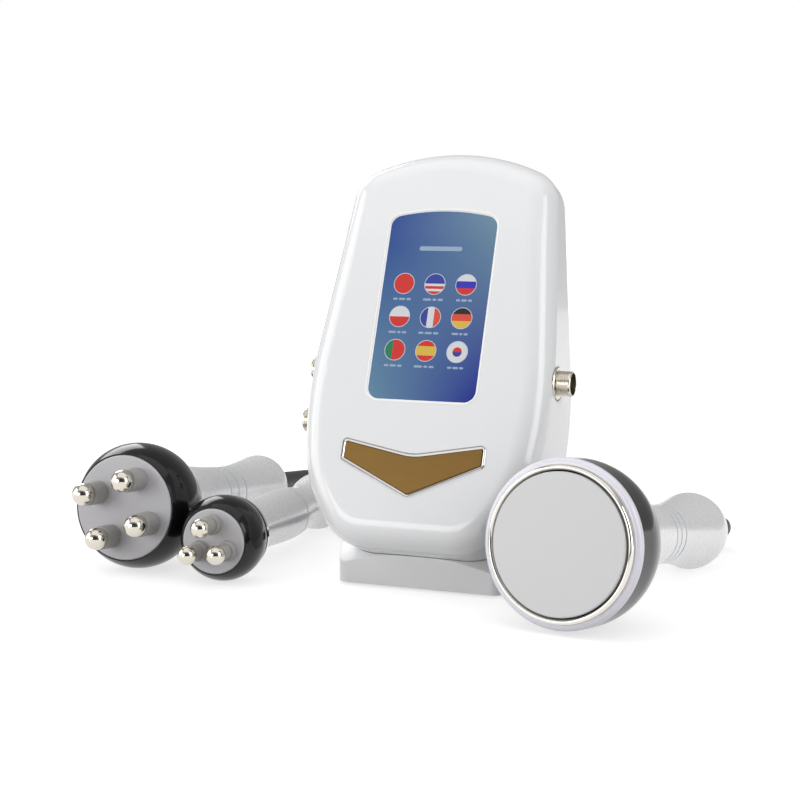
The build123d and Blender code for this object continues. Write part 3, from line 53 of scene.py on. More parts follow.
def fill(node, **inputs):
    for name, value in inputs.items():
        node.inputs[name.replace("_", " ")].default_value = value


def principled(name):
    mat = bpy.data.materials.new(name)
    mat.use_nodes = True
    return mat, mat.node_tree, mat.node_tree.nodes["Principled BSDF"]


# Materials

PLASTIC_IOR = 1.5
TINT_DETAIL = 3
GRAIN_DETAIL = 4
GRAIN_DEPTH = 0.0002
ROUGH_SPREAD = 0.06
ROUGH_LEAST = 0.02


def material(name, color, rough=0.4, metal=0.0, coat=0.0, coat_rough=0.05, spec=0.5,
             grain=0.0, grain_scale=400.0, tint=0.0, tint_scale=60.0, streak=(1, 1, 1)):
    """Principled material with fine procedural variation of colour, roughness and relief."""
    mat, tree, shader = principled(name)
    link = tree.links.new
    fill(shader, Base_Color=(*color, 1), Roughness=rough, Metallic=metal, Coat_Weight=coat,
         Coat_Roughness=coat_rough, Specular_IOR_Level=spec, IOR=PLASTIC_IOR)
    coords = add(tree, "TexCoord")
    mapping = add(tree, "Mapping", Scale=streak)
    link(coords.outputs["Object"], mapping.inputs["Vector"])
    if tint:
        noise = add(tree, "TexNoise", Scale=tint_scale, Detail=TINT_DETAIL)
        shade = add(tree, "MapRange", To_Min=1 - tint, To_Max=1 + tint)
        mix = add(tree, "VectorMath")
        mix.operation = "SCALE"
        mix.inputs[0].default_value = color
        link(mapping.outputs["Vector"], noise.inputs["Vector"])
        link(noise.outputs["Fac"], shade.inputs["Value"])
        link(shade.outputs["Result"], mix.inputs["Scale"])
        link(mix.outputs["Vector"], shader.inputs["Base Color"])
    if grain:
        fine = add(tree, "TexNoise", Scale=grain_scale, Detail=GRAIN_DETAIL)
        bump = add(tree, "Bump", Strength=grain, Distance=GRAIN_DEPTH)
        shine = add(tree, "MapRange", To_Min=max(rough - ROUGH_SPREAD, ROUGH_LEAST),
                    To_Max=rough + ROUGH_SPREAD)
        link(mapping.outputs["Vector"], fine.inputs["Vector"])
        link(fine.outputs["Fac"], bump.inputs["Height"])
        link(bump.outputs["Normal"], shader.inputs["Normal"])
        link(fine.outputs["Fac"], shine.inputs["Value"])
        link(shine.outputs["Result"], shader.inputs["Roughness"])
    return mat


WHITE_GLOSS = material("white_gloss", (0.84, 0.845, 0.855), 0.22, coat=0.5, tint=0.006,
                       grain=0.02, grain_scale=260)
# Same white plastic as the cover, painted lighter to cancel the shade that the housing casts on
# the stand.
STAND_WHITE_SHADE_LIFTED = material("stand_white_shade_lifted", (0.88, 0.882, 0.89), 0.3, coat=0.2, tint=0.01,
                       grain=0.05, grain_scale=900)
PLATE_GREY = material("plate_grey", (0.55, 0.55, 0.55), 0.6, tint=0.03,
                      grain=0.3, grain_scale=1500)
PAD_RUBBER = material("pad_rubber", (0.03, 0.03, 0.03), 0.85, tint=0.15,
                      grain=0.6, grain_scale=1800)
SILVER = material("badge_silver", (0.66, 0.645, 0.64), 0.16, 1.0, tint=0.02,
                  grain=0.04, grain_scale=700)
GOLD = material("badge_gold", (0.23, 0.132, 0.036), 0.36, 0.8, tint=0.05,
                grain=0.12, grain_scale=900, streak=(1, 9, 9))
NICKEL = material("nickel", (0.7, 0.66, 0.58), 0.22, 1.0, tint=0.05,
                  grain=0.08, grain_scale=900)
PIN_GOLD = material("pin_gold", (0.85, 0.62, 0.25), 0.2, 1.0, tint=0.04, grain=0.05)
INSERT = material("insert_black", (0.03, 0.03, 0.032), 0.5, tint=0.1,
                  grain=0.2, grain_scale=1400)
BOARD = material("board_green", (0.02, 0.16, 0.07), 0.4, coat=0.3, tint=0.12, tint_scale=300,
                 grain=0.1)
CORE = material("ferrite", (0.06, 0.06, 0.065), 0.7, tint=0.15, grain=0.5, grain_scale=1500)
SINK = material("sink_aluminium", (0.72, 0.73, 0.75), 0.35, 1.0, tint=0.04, grain=0.2,
                streak=(1, 1, 14))
BLACK_MATT = material("black_matt", (0.022, 0.022, 0.024), 0.5, tint=0.12,
                      grain=0.35, grain_scale=1600)
STEEL = material("screw_steel", (0.55, 0.55, 0.57), 0.3, 1.0, tint=0.05,
                 grain=0.15, grain_scale=1200)
DISC = material("disc_satin", (0.635, 0.635, 0.64), 0.62, 0.35, tint=0.008,
                grain=0.05, grain_scale=1200)
CHROME = material("chrome", (0.74, 0.71, 0.66), 0.07, 1.0, tint=0.02, grain=0.01)
RING_WHITE = material("ring_white", (0.8, 0.79, 0.87), 0.2, coat=0.5, tint=0.01, grain=0.02)
PIANO = material("piano_black", (0.006, 0.006, 0.007), 0.14, coat=0.12, coat_rough=0.03,
                 spec=0.3, tint=0.1, grain=0.01)
HANDLE = material("handle_silver", (0.86, 0.862, 0.875), 0.28, 0.35, coat=0.35,
                  coat_rough=0.12, tint=0.02, tint_scale=900, grain=0.06, grain_scale=2600)
BOOT = material("boot_rubber", (0.02, 0.02, 0.021), 0.45, tint=0.15,
                grain=0.3, grain_scale=1500)
CORD = material("cord_sheath", (0.022, 0.022, 0.024), 0.42, tint=0.12,
                grain=0.25, grain_scale=1800)
TIE = material("tie_strap", (0.035, 0.035, 0.037), 0.6, tint=0.2,
               grain=0.8, grain_scale=2400, streak=(1, 6, 1))
FACE = material("face_grey", (0.5, 0.49, 0.51), 0.3, coat=0.3, tint=0.01,
                grain=0.04, grain_scale=900)
POST = material("post_grey", (0.34, 0.33, 0.315), 0.42, tint=0.03,
                grain=0.12, grain_scale=1500)
BALL = material("electrode_chrome", (0.66, 0.62, 0.54), 0.1, 1.0, tint=0.03,
                grain=0.02, grain_scale=800)
# The cover's white, painted brighter on the rim bead as a highlight along the window's edge.
RIM_WHITE_HIGHLIGHTED = material("window_rim", (0.9, 0.9, 0.9), 0.16, coat=0.6, tint=0.004,
               grain=0.015, grain_scale=400)
ALU = material("transducer_metal", (0.7, 0.7, 0.72), 0.3, 1.0, tint=0.03, grain=0.1,
               streak=(1, 1, 10))

FINISH = {
    WHITE_GLOSS: ("front_cover", "rear_cover"),
    STAND_WHITE_SHADE_LIFTED: ("stand_base",),
    PLATE_GREY: ("stand_bottom_plate",),
    PAD_RUBBER: ("anti_slip_pad",),
    SILVER: ("badge_frame",),
    GOLD: ("badge_plate",),
    NICKEL: ("socket_right_body", "socket_left_upper_body", "socket_left_lower_body",
             "panel_nuts", "cav_plug", "cav_plug_ring", "quad_plug", "quad_plug_ring"),
    PIN_GOLD: ("socket_pins",),
    INSERT: ("socket_inserts",),
    BOARD: ("main_board", "driver_board"),
    CORE: ("transformer",),
    SINK: ("heat_sink",),
    BLACK_MATT: ("buzzer", "dc_inlet", "switch_frame", "power_rocker", "fan_frame",
                 "fan_rotor", "lcd_module"),
    STEEL: ("rear_screws", "stand_screws"),
    DISC: ("cav_disc",),
    CHROME: ("cav_chrome_ring", "tri_back_ring"),
    RING_WHITE: ("cav_white_ring",),
    PIANO: ("cav_collar", "quad_collar", "tri_collar"),
    ALU: ("cav_transducer",),
    HANDLE: ("cav_handle", "quad_handle", "tri_handle"),
    BOOT: ("cav_boot", "quad_boot", "tri_gland"),
    CORD: ("cav_cord", "cav_cord_coil", "cav_cord_lead",
           "quad_cord", "quad_cord_coil", "quad_cord_lead"),
    TIE: ("cav_tie", "quad_tie"),
    FACE: ("quad_face", "tri_face"),
    POST: ("quad_posts", "tri_posts"),
    BALL: ("quad_electrodes", "tri_electrodes"),
}


def paint(node, mat):
    mesh = nodes[node].data
    mesh.materials.clear()
    mesh.materials.append(mat)


for mat, names in FINISH.items():
    for name in names:
        paint(name, mat)


# Camera and floor. Places in metres, lens and sensor in millimetres.

LENS = 75.15
SENSOR_WIDTH = 36
CAMERA_PLACE = (0.2867, -0.7580, 0.1890)
CAMERA_AIM = (-0.3757, 0.9183, -0.1246)
FLOOR_SIZE = 6
FLOOR_Z = -0.0002
FLOOR_GREY = 0.5
WHITE_LEAST = 0.68
WHITE_NEAR = 0.3
WHITE_FAR = 1.6

camera_data = bpy.data.cameras.new("camera")
camera_data.lens = LENS
camera_data.sensor_width = SENSOR_WIDTH
camera = bpy.data.objects.new("camera", camera_data)
camera.location = CAMERA_PLACE
camera.rotation_euler = Vector(CAMERA_AIM).to_track_quat("-Z", "Y").to_euler()
col.objects.link(camera)
bpy.context.scene.camera = camera


def either(tree, first, second):
    """Greater of two values."""
    node = add(tree, "Math")
    node.operation = "MAXIMUM"
    tree.links.new(first, node.inputs[0])
    tree.links.new(second, node.inputs[1])
    return node.outputs[0]


def camera_white(mat):
    """White to the camera and in reflections, with the object's shadow.

    Near the object, where the lamps light the floor, the white is weaker."""
    tree = mat.node_tree
    link = tree.links.new
    rays = add(tree, "LightPath").outputs
    seen = either(tree, rays["Is Camera Ray"], rays["Is Glossy Ray"])
    seen = either(tree, seen, rays["Is Transmission Ray"])
    coords = add(tree, "TexCoord")
    reach = add(tree, "VectorMath")
    reach.operation = "LENGTH"
    white = add(tree, "MapRange", From_Min=WHITE_NEAR, From_Max=WHITE_FAR, To_Min=WHITE_LEAST)
    white.interpolation_type = "SMOOTHSTEP"
    scale = add(tree, "Math")
    scale.operation = "MULTIPLY"
    glow = add(tree, "Emission", Color=(1, 1, 1, 1))
    both = add(tree, "AddShader")
    link(coords.outputs["Object"], reach.inputs[0])
    link(reach.outputs["Value"], white.inputs["Value"])
    link(seen, scale.inputs[0])
    link(white.outputs["Result"], scale.inputs[1])
    link(scale.outputs[0], glow.inputs["Strength"])
    link(tree.nodes["Principled BSDF"].outputs[0], both.inputs[0])
    link(glow.outputs[0], both.inputs[1])
    link(both.outputs[0], tree.nodes["Material Output"].inputs["Surface"])


def floor_plane():
    bm = bmesh.new()
    bmesh.ops.create_grid(bm, x_segments=2, y_segments=2, size=FLOOR_SIZE)
    mesh = bpy.data.meshes.new("floor")
    bm.to_mesh(mesh)
    bm.free()
    floor = bpy.data.objects.new("floor", mesh)
    mat = material("floor_white", (FLOOR_GREY,) * 3, 0.9, tint=0.002, spec=0.1)
    camera_white(mat)
    mesh.materials.append(mat)
    floor.location = (0, 0, FLOOR_Z)
    col.objects.link(floor)


floor_plane()


# Lamps: name, place, target, size in metres, watts

LAMPS = (
    ("top_box", (0.02, -0.2, 0.85), (0, -0.02, 0.1), (1.2, 0.9), 2.6),
    ("left_box", (-1.15, -0.5, 0.5), (0, 0, 0.1), (0.9, 0.9), 6.2),
    ("right_box", (1.05, -0.35, 0.45), (0.05, 0, 0.08), (0.5, 0.9), 4.6),
    ("front_box", (-0.6, -1.35, 0.35), (0, 0, 0.05), (0.9, 0.5), 4.7),
    ("back_box", (-0.75, 0.55, 0.6), (-0.12, 0.03, 0.03), (0.5, 0.5), 2.6),
)
ROOM_LIGHT = 0.42
ROOM_DIM = 0.05
DIM_SIDE = (0.35, -0.92, 0.12)
DIM_FROM = 0.7
DIM_TO = 0.93


def soft_box(name, place, target, size, energy):
    data = bpy.data.lights.new(name, "AREA")
    data.shape = "RECTANGLE"
    data.size, data.size_y = size
    data.energy = energy
    lamp = bpy.data.objects.new(name, data)
    lamp.location = place
    lamp.rotation_euler = (Vector(target) - Vector(place)).to_track_quat("-Z", "Y").to_euler()
    col.objects.link(lamp)


def room_light():
    """Even white light, weaker from the side of the room that the object faces."""
    world = bpy.data.worlds.new("world")
    world.use_nodes = True
    tree = world.node_tree
    link = tree.links.new
    back = tree.nodes["Background"]
    fill(back, Color=(1, 1, 1, 1))
    coords = add(tree, "TexCoord")
    facing = add(tree, "VectorMath")
    facing.operation = "DOT_PRODUCT"
    facing.inputs[1].default_value = Vector(DIM_SIDE).normalized()
    room = add(tree, "MapRange", From_Min=DIM_FROM, From_Max=DIM_TO,
               To_Min=ROOM_LIGHT, To_Max=ROOM_DIM)
    room.interpolation_type = "SMOOTHSTEP"
    path = add(tree, "LightPath")
    mix = add(tree, "Mix", B=1.0)
    link(coords.outputs["Generated"], facing.inputs[0])
    link(facing.outputs["Value"], room.inputs["Value"])
    link(path.outputs["Is Camera Ray"], mix.inputs["Factor"])
    link(room.outputs["Result"], mix.inputs["A"])
    link(mix.outputs["Result"], back.inputs["Strength"])
    bpy.context.scene.world = world


for lamp in LAMPS:
    soft_box(*lamp)
room_light()
bpy.context.scene.view_settings.view_transform = "Standard"


# Cords. Points of the routes in millimetres, as in the part's source.

CORD_R = 2.5
COIL_PITCH = 5.6
COIL_LAYER = 5.6
COIL_LIFT = 1.2
TURNS_IN = 3
TURN_BACK = 0.12
CLIMB_TURNS = 0.5
POINTS_PER_TURN = 24
COIL_Y = 84.0
COIL_START = 90
QUAD_COIL_X, QUAD_COIL_R, QUAD_TURNS = -42.0, 35.9, 5.75
CAV_COIL_X, CAV_COIL_R, CAV_TURNS = 40.0, 37.7, 6.0
LEFT_HAND, RIGHT_HAND = -1, 1
QUAD_FEED = [
    (-156.815, 172.499, 10.828), (-157.345, 185.426, 9.566), (-150.8, 201.2, 7.4),
    (-136.3, 211.6, 4.9), (-118.2, 212.9, 3.3), (-102.2, 204.2, 2.8), (-93.0, 188.0, 2.7),
    (-88.8, 168.0, 2.7), (-86.0, 150.5, 2.7), (-80.9, 136.3, 2.7), (-70.9, 125.2, 3.0),
    (-58.995, 120.322, 3.7), (-47.0, 120.024, 3.7),
]
QUAD_LEAD = [(-77.9, 89.0, 9.3), (-77.9, 98.0, 9.3), (-79.4, 107.8, 7.4), (-82.9, 117.2, 7.4)]
CAV_FEED = [
    (96.419, 125.133, 5.997), (87.689, 126.293, 4.143), (78.0, 127.2, 2.9),
    (68.5, 125.0, 2.9), (58.995, 122.149, 3.7), (45.0, 121.818, 3.7),
]
CAV_LEAD = [(35.0, 121.7, 9.3), (26.0, 121.7, 9.3), (16.2, 123.6, 7.4), (7.0, 126.8, 7.4)]


def coil_points(x, outer, sense, turns):
    """Turns that wind inward on the floor, then outward on top of them."""
    points = []
    for step in range(round(turns * POINTS_PER_TURN) + 1):
        turn = step / POINTS_PER_TURN
        inward = math.hypot(TURNS_IN, TURN_BACK) - math.hypot(turn - TURNS_IN, TURN_BACK)
        radius = outer - COIL_PITCH * inward
        climb = min(max((turn - TURNS_IN) / CLIMB_TURNS + 0.5, 0), 1)
        z = CORD_R + COIL_LIFT + COIL_LAYER * climb * climb * (3 - 2 * climb)
        angle = math.radians(COIL_START + sense * 360 * turn)
        points.append((x + radius * math.cos(angle), COIL_Y + radius * math.sin(angle), z))
    return points


def cord(name, points):
    curve = bpy.data.curves.new(name, "CURVE")
    curve.dimensions = "3D"
    curve.bevel_depth = CORD_R * MM
    curve.bevel_resolution = 5
    curve.resolution_u = 6
    curve.use_fill_caps = True
    spline = curve.splines.new("NURBS")
    spline.points.add(len(points) - 1)
    for place, point in zip(spline.points, points):
        place.co = (*(Vector(point) * MM), 1)
    spline.order_u = 3
    spline.use_endpoint_u = True
    curve.materials.append(CORD)
    piece = bpy.data.objects.new(name, curve)
    col.objects.link(piece)
    return piece


quad_coil = coil_points(QUAD_COIL_X, QUAD_COIL_R, LEFT_HAND, QUAD_TURNS)
quad_cord = cord("quad_cord_line", QUAD_FEED + quad_coil + QUAD_LEAD)
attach(quad_cord, "quadrupolar_handpiece")
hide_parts("quad_cord", "quad_cord_coil", "quad_cord_lead")

cav_coil = coil_points(CAV_COIL_X, CAV_COIL_R, RIGHT_HAND, CAV_TURNS)
cav_cord = cord("cav_cord_line", CAV_FEED + cav_coil + CAV_LEAD)
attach(cav_cord, "cavitation_handpiece")
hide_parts("cav_cord", "cav_cord_coil", "cav_cord_lead")


# Front plane of the housing. U runs right, V up and OUT away from it, in millimetres.

LEAN_SIN, LEAN_COS = 0.3584, 0.9336
FRONT_V = Vector((0, LEAN_SIN, LEAN_COS))
FRONT_OUT = Vector((0, -LEAN_COS, LEAN_SIN))
FRONT_FOOT_Y = -68
GLASS_DEPTH = 0.5


def front_point(u, v, out):
    return (Vector((u, FRONT_FOOT_Y, 0)) + FRONT_V * v + FRONT_OUT * out) * MM


def piece_of(name, bm, mats, body):
    mesh = bpy.data.meshes.new(name)
    bm.to_mesh(mesh)
    bm.free()
    for mat in mats:
        mesh.materials.append(mat)
    piece = bpy.data.objects.new(name, mesh)
    col.objects.link(piece)
    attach(piece, body)
    return piece


def join_rings(bm, rings, closed):
    """Faces between each ring and the one before it."""
    for index in range(0 if closed else 1, len(rings)):
        before, ring = rings[index - 1], rings[index]
        for k in range(len(ring)):
            bm.faces.new((before[k - 1], before[k], ring[k], ring[k - 1]))


# Window: outline of the glass, rim round it and lit screen

WINDOW_HALF_W = 27.5
WINDOW_LOW = 97.2
WINDOW_TOP = 192.0
CORNER_R = 6.0
CROWN_R = 109.8
CROWN_V = WINDOW_TOP - CROWN_R
CORNER_U = WINDOW_HALF_W - CORNER_R
CORNER_V = CROWN_V + math.sqrt((CROWN_R - CORNER_R) ** 2 - CORNER_U ** 2)
CROWN_END = 78.1
CORNER_STEPS = 10
CROWN_STEPS = 24
RIM_SECTION = ((1.25, -0.02), (1.1, 0.12), (0.8, 0.2), (0.45, 0.1), (0.1, -0.15), (-0.25, -0.46))
MERGE_WITHIN = 1e-6
LIT_UNDER = (0.01, 0.012, 0.02, 1)
# Corners of the lit display, low row then top row, left then right. The deep blue is the
# display's own colour. The teal at low left and top right is a painted sheen band across the
# glass.
LOW_GLOW_AND_SHEEN = (0.13, 0.26, 0.36, 1), (0.006, 0.01, 0.26, 1)
TOP_GLOW_AND_SHEEN = (0.006, 0.04, 0.28, 1), (0.155, 0.28, 0.36, 1)


def window_outline(grow):
    points = []
    for u, v, radius, start, end, steps in (
        (-CORNER_U, WINDOW_LOW + CORNER_R, CORNER_R, 180, 270, CORNER_STEPS),
        (CORNER_U, WINDOW_LOW + CORNER_R, CORNER_R, 270, 360, CORNER_STEPS),
        (CORNER_U, CORNER_V, CORNER_R, 0, CROWN_END, CORNER_STEPS),
        (0, CROWN_V, CROWN_R, CROWN_END, 180 - CROWN_END, CROWN_STEPS),
        (-CORNER_U, CORNER_V, CORNER_R, 180 - CROWN_END, 180, CORNER_STEPS),
    ):
        for step in range(steps + 1):
            angle = math.radians(start + (end - start) * step / steps)
            reach = radius + grow
            points.append((u + reach * math.cos(angle), v + reach * math.sin(angle)))
    return points


def window_rim(section):
    """Moulded bead round the window, from its foot on the cover down to the glass."""
    bm = bmesh.new()
    rings = [[bm.verts.new(front_point(u, v, out)) for u, v in window_outline(grow)]
             for grow, out in section]
    join_rings(bm, rings, closed=False)
    bmesh.ops.remove_doubles(bm, verts=bm.verts, dist=MERGE_WITHIN)
    bmesh.ops.recalc_face_normals(bm, faces=bm.faces)
    return piece_of("window_rim", bm, [RIM_WHITE_HIGHLIGHTED], "console")


def share_along(tree, coords, axis, start, end):
    """How far a point of the object lies along an axis, from 0 at start to 1 at end."""
    dot = add(tree, "VectorMath")
    dot.operation = "DOT_PRODUCT"
    dot.inputs[1].default_value = axis
    share = add(tree, "MapRange", From_Min=start * MM, From_Max=end * MM)
    tree.links.new(coords.outputs["Object"], dot.inputs[0])
    tree.links.new(dot.outputs["Value"], share.inputs["Value"])
    return share.outputs["Result"]


def lit_screen():
    """Lit display under gloss glass, its colour turning from corner to corner: the display's own
    deep blue, with a painted sheen band that lightens two opposite corners to teal.
    """
    mat, tree, shader = principled("lit_screen")
    link = tree.links.new
    fill(shader, Base_Color=LIT_UNDER, Roughness=0.08, Specular_IOR_Level=0.3,
         Emission_Strength=0.9)
    coords = add(tree, "TexCoord")
    low = WINDOW_LOW + FRONT_V.y * FRONT_FOOT_Y
    right = share_along(tree, coords, (1, 0, 0), -WINDOW_HALF_W, WINDOW_HALF_W)
    up = share_along(tree, coords, FRONT_V, low, low + WINDOW_TOP - WINDOW_LOW)
    both = add(tree, "MixRGB")
    link(up, both.inputs[0])
    for place, ends in enumerate((LOW_GLOW_AND_SHEEN, TOP_GLOW_AND_SHEEN), start=1):
        row = add(tree, "MixRGB")
        row.inputs[1].default_value, row.inputs[2].default_value = ends
        link(right, row.inputs[0])
        link(row.outputs[0], both.inputs[place])
    link(both.outputs[0], shader.inputs["Emission Color"])
    return mat


# Picture on the screen, laid out in U and V

LAYER = 0.03
HEADING_U, HEADING_V, HEADING_W, HEADING_H = 0.1, 172.8, 22.0, 2.2
FIRST_U, STEP_U = -16.3, 15.85
FIRST_V, STEP_V = 154.95, 16.6
DISC_R = 5.0
DISC_EDGE_R = 5.35
SPOT_R = 2.3
CAPTION_DROP = 7.8
CAPTION_H = 1.1
CAPTION_W = 9.2
CAPTION_SWING = 1.2
CAPTION_PHASE = 2.1
CAPTION_GAP = 0.06
CAPTION_WORDS = (0.26, 0.36, 0.26), (0.42, 0.2, 0.26)
COLUMNS = 3
BAR_STEPS = 8
BAND_STEPS = 16
SAME_POINT = 1e-4
INK_GLOW = 0.1
INKS = {
    "pale": (0.5, 0.56, 0.64), "red": (0.58, 0.03, 0.025), "white": (0.6, 0.62, 0.64),
    "navy": (0.035, 0.05, 0.3), "blue": (0.03, 0.03, 0.42), "black": (0.015, 0.014, 0.017),
    "coral": (0.62, 0.07, 0.04), "yellow": (0.62, 0.42, 0.06), "green": (0.02, 0.19, 0.08),
    "caption": (0.27, 0.37, 0.5),
}
PALE, RED, WHITE, NAVY, BLUE, BLACK, CORAL, YELLOW, GREEN, CAPTION = range(len(INKS))
EDGE_BANDS = (0.5, PALE), (0.5, PALE)
SPOT_BANDS = (0.5, NAVY), (0.5, RED)
DISCS = (
    (((0.5, RED), (0.5, RED)), False),
    (((0.14, RED), (0.12, WHITE), (0.14, RED), (0.12, WHITE), (0.48, NAVY)), False),
    (((0.33, RED), (0.34, BLUE), (0.33, WHITE)), False),
    (((0.5, RED), (0.5, WHITE)), False),
    (((0.34, NAVY), (0.33, WHITE), (0.33, CORAL)), True),
    (((0.36, YELLOW), (0.34, CORAL), (0.3, BLACK)), False),
    (((0.38, GREEN), (0.62, RED)), True),
    (((0.27, RED), (0.46, YELLOW), (0.27, RED)), False),
    (((0.5, WHITE), (0.5, WHITE)), False),
)


def ink(name, color):
    mat = material("ink_" + name, color, 0.12, coat=0.4, tint=0.03, tint_scale=900)
    fill(mat.node_tree.nodes["Principled BSDF"], Emission_Color=(*color, 1),
         Emission_Strength=INK_GLOW)
    return mat


def flat(bm, points, layer, index):
    out = layer * LAYER - GLASS_DEPTH
    face = bm.faces.new([bm.verts.new(front_point(u, v, out)) for u, v in points])
    face.material_index = index


def bar(bm, u, v, width, height):
    """Rounded bar about its middle."""
    end = height / 2
    points = []
    for side, start in ((1, -90), (-1, 90)):
        for step in range(BAR_STEPS + 1):
            angle = math.radians(start + step * 180 / BAR_STEPS)
            points.append((u + side * (width / 2 - end) + end * math.cos(angle),
                           v + end * math.sin(angle)))
    flat(bm, points, 1, CAPTION)


def band_disc(bm, u, v, radius, layer, bands, turned=False):
    """Disc cut into parallel colour bands, each a share of its width and a colour."""
    low = -1.0
    for share, index in bands:
        high = low + 2 * share
        start, end = math.asin(max(low, -1)), math.asin(min(high, 1))
        points = []
        for side in (1, -1):
            for step in range(BAND_STEPS + 1):
                t = step / BAND_STEPS if side == 1 else 1 - step / BAND_STEPS
                angle = start + (end - start) * t
                across, along = side * math.cos(angle) * radius, math.sin(angle) * radius
                point = (u + along, v - across) if turned else (u + across, v + along)
                if not points or math.dist(point, points[-1]) > SAME_POINT:
                    points.append(point)
        if math.dist(points[0], points[-1]) < SAME_POINT:
            points.pop()
        flat(bm, points, layer, index)
        low = high


def captions(bm, place, u, v):
    """Row of bars under a disc, in place of words."""
    width = CAPTION_W + CAPTION_SWING * math.sin(place * CAPTION_PHASE)
    left = u - width / 2
    for share in CAPTION_WORDS[place % 2]:
        bar(bm, left + share * width / 2, v - CAPTION_DROP, share * width, CAPTION_H)
        left += (share + CAPTION_GAP) * width


def screen_picture():
    """Generic page of a touch menu: a heading bar and nine banded discs with caption bars."""
    bm = bmesh.new()
    bar(bm, HEADING_U, HEADING_V, HEADING_W, HEADING_H)
    for place, (bands, turned) in enumerate(DISCS):
        u = FIRST_U + STEP_U * (place % COLUMNS)
        v = FIRST_V - STEP_V * (place // COLUMNS)
        band_disc(bm, u, v, DISC_EDGE_R, 1, EDGE_BANDS)
        band_disc(bm, u, v, DISC_R, 2, bands, turned)
        if place == len(DISCS) - 1:
            band_disc(bm, u, v, SPOT_R, 3, SPOT_BANDS)
        captions(bm, place, u, v)
    inks = [ink(name, color) for name, color in INKS.items()]
    piece_of("screen_picture", bm, inks, "console")


# Badge frame. Corners are (u, v, radius), and a negative radius rounds an inner corner.

BADGE_CORNERS = (
    (-36.2, 67.0, 2.5), (0, 50.4, 4.0), (36.2, 67.0, 2.5),
    (36.2, 78.0, 2.5), (0, 71.4, -28.0), (-36.2, 78.0, 2.5),
)
BADGE_SECTION = (
    (0, -0.9), (0, 0.3), (-0.25, 0.5), (-0.75, 0.5), (-1.15, 0.28), (-1.9, -0.42), (-1.9, -0.9),
)
BADGE_STEPS = 8


def rounded(corners, grow):
    """Outline with rounded corners, moved outward by grow."""
    outline = []
    for k, (u, v, radius) in enumerate(corners):
        here = Vector((u, v))
        into = (here - Vector(corners[k - 1][:2])).normalized()
        onward = (Vector(corners[(k + 1) % len(corners)][:2]) - here).normalized()
        turn = 1 if radius > 0 else -1
        size = abs(radius) + turn * grow
        half = math.acos(max(-1, min(1, into.dot(onward)))) / 2
        outward = Vector((into.y + onward.y, -into.x - onward.x)).normalized()
        middle = here + outward * (grow - turn * size) / math.cos(half)
        base = outward * turn * size
        for step in range(BADGE_STEPS + 1):
            spin = turn * half * (2 * step / BADGE_STEPS - 1)
            cos, sin = math.cos(spin), math.sin(spin)
            outline.append(middle + Vector((base.x * cos - base.y * sin,
                                            base.x * sin + base.y * cos)))
    return outline


def badge_bezel(section):
    """Bevelled metal frame round the badge plate."""
    bm = bmesh.new()
    rings = [[bm.verts.new(front_point(u, v, out)) for u, v in rounded(BADGE_CORNERS, grow)]
             for grow, out in section]
    join_rings(bm, rings, closed=True)
    bmesh.ops.recalc_face_normals(bm, faces=bm.faces)
    bezel = piece_of("badge_bezel", bm, [SILVER], "console")
    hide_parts("badge_frame")


paint("touch_glass", lit_screen())
screen_picture()
badge_bezel(BADGE_SECTION)
rim = window_rim(RIM_SECTION)


# Turned pieces

SEGMENTS = 96
BEZEL_SEGMENTS = 192


def lathe(name, profile, place, axis, mat, body, segments=SEGMENTS):
    """Solid turned about an axis from a closed loop of (radius, height) points."""
    across = axis.orthogonal().normalized()
    other = axis.cross(across)
    bm = bmesh.new()
    rings = []
    for radius, height in profile:
        ring = []
        for k in range(segments):
            angle = 2 * math.pi * k / segments
            spoke = across * math.cos(angle) + other * math.sin(angle)
            ring.append(bm.verts.new((Vector(place) + spoke * radius + axis * height) * MM))
        rings.append(ring)
    join_rings(bm, rings, closed=True)
    bmesh.ops.recalc_face_normals(bm, faces=bm.faces)
    return piece_of(name, bm, [mat], body)


# Threaded sockets: place of the seat on the side wall, and the side that it faces

SOCKETS = (
    ("socket_right_body", (60.3, -11.985, 99.323), 1),
    ("socket_left_upper_body", (-60.3, -1.539, 100.026), -1),
    ("socket_left_lower_body", (-60.3, -12.006, 75.552), -1),
)
BORE_R = 5.2
BARREL_R = 5.9
COLLAR_R = 5.95
CREST_R = 5.98
ROOT_R = 5.5
FLANGE_R = 7.75
FLANGE_T = 1.4
TAIL = -9.5
THREAD_START = 1.9
THREAD_PITCH = 1
THREAD_TURNS = 5
RIDGE = ((CREST_R, 0.3), (CREST_R, 0.5), (ROOT_R, 0.8), (ROOT_R, 0.95))
MOUTH = ((COLLAR_R, 7.15), (CREST_R, 7.35), (BARREL_R, 8.1), (5.6, 8.4), (5.3, 8.4),
         (BORE_R, 8.25))


def socket_profile():
    points = [(BORE_R, TAIL), (BARREL_R, TAIL), (BARREL_R, -0.05), (7.4, 0.0), (FLANGE_R, 0.3),
              (FLANGE_R, 1.05), (7.45, 1.38), (6.2, FLANGE_T), (ROOT_R, 1.7)]
    for turn in range(THREAD_TURNS):
        low = THREAD_START + THREAD_PITCH * turn
        points += [(radius, low + height) for radius, height in RIDGE]
    return points + list(MOUTH)


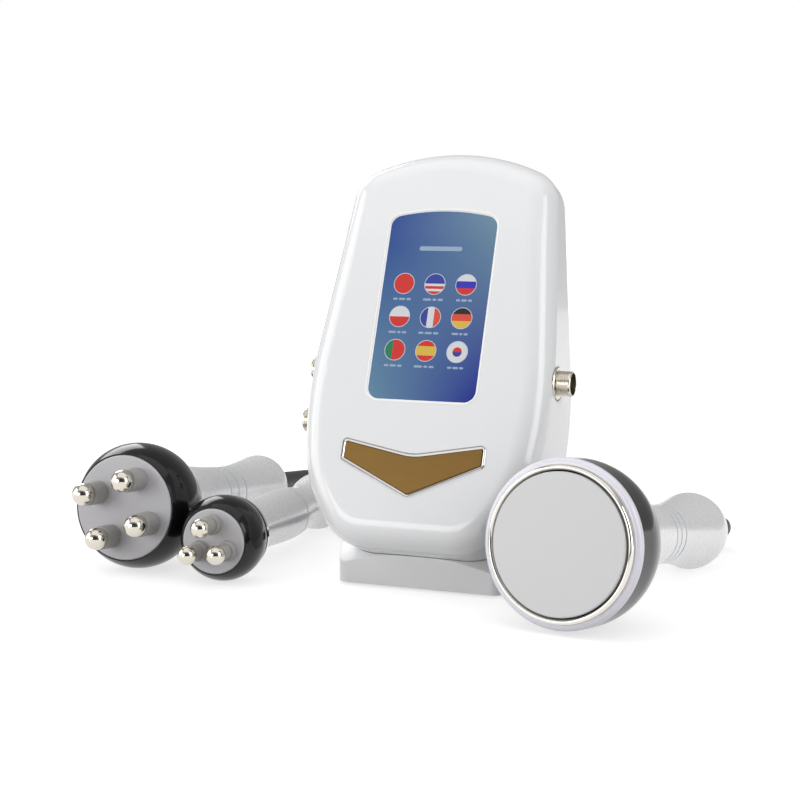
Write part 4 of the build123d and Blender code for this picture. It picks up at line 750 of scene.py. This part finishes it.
for node, place, side in SOCKETS:
    socket = lathe(node + "_threaded", socket_profile(), place, Vector((side, 0, 0)), NICKEL,
                   "console")
    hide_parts(node)


# Rounded bezel of the cavitation head, which rests on its rim and on the flare of its handle

HEAD_PLACE = (87.2, -72.5, 37.4)
HEAD_R = 37.2
FLARE_R = 19.15
FLARE_S = 136
HEADING = 9.2
BEZEL_IN = 31.65
BEZEL_OUT = 34.4
BEZEL_FOOT = 6.0
BEZEL_TOP = 15.0
BEZEL_SHOULDER = 12.7
BEZEL_STEPS = 14


def lying(head_r, flare_r, flare_s, heading):
    """Axis of a handpiece that rests on its head and on the flare of its handle."""
    tilt = math.asin(head_r / math.hypot(flare_s, flare_r)) - math.atan2(flare_r, flare_s)
    turn = math.radians(heading)
    return Vector((-math.sin(turn) * math.cos(tilt), -math.cos(turn) * math.cos(tilt),
                   math.sin(tilt)))


def bezel_profile():
    """Half ellipse over the ring, from the shoulder outside to the gap beside the disc."""
    middle, half = (BEZEL_IN + BEZEL_OUT) / 2, (BEZEL_OUT - BEZEL_IN) / 2
    points = [(BEZEL_IN, BEZEL_FOOT), (BEZEL_OUT, BEZEL_FOOT)]
    for step in range(BEZEL_STEPS + 1):
        angle = math.pi * step / BEZEL_STEPS
        points.append((middle + half * math.cos(angle),
                       BEZEL_SHOULDER + (BEZEL_TOP - BEZEL_SHOULDER) * math.sin(angle)))
    return points


bezel = lathe("cav_bezel_round", bezel_profile(), HEAD_PLACE,
              lying(HEAD_R, FLARE_R, FLARE_S, HEADING), CHROME,
              "cavitation_handpiece", BEZEL_SEGMENTS)
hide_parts("cav_chrome_ring")


# Smooth shading of the rounded pieces

SHARP = 32
RIM_SHARP = 60
BEZEL_SHARP = 50


def smooth(obj, degrees=SHARP):
    mesh = obj.data
    mesh.polygons.foreach_set("use_smooth", [True] * len(mesh.polygons))
    mesh.set_sharp_from_angle(angle=math.radians(degrees))


for node in nodes.values():
    smooth(node)
smooth(rim, RIM_SHARP)
smooth(bezel, BEZEL_SHARP)
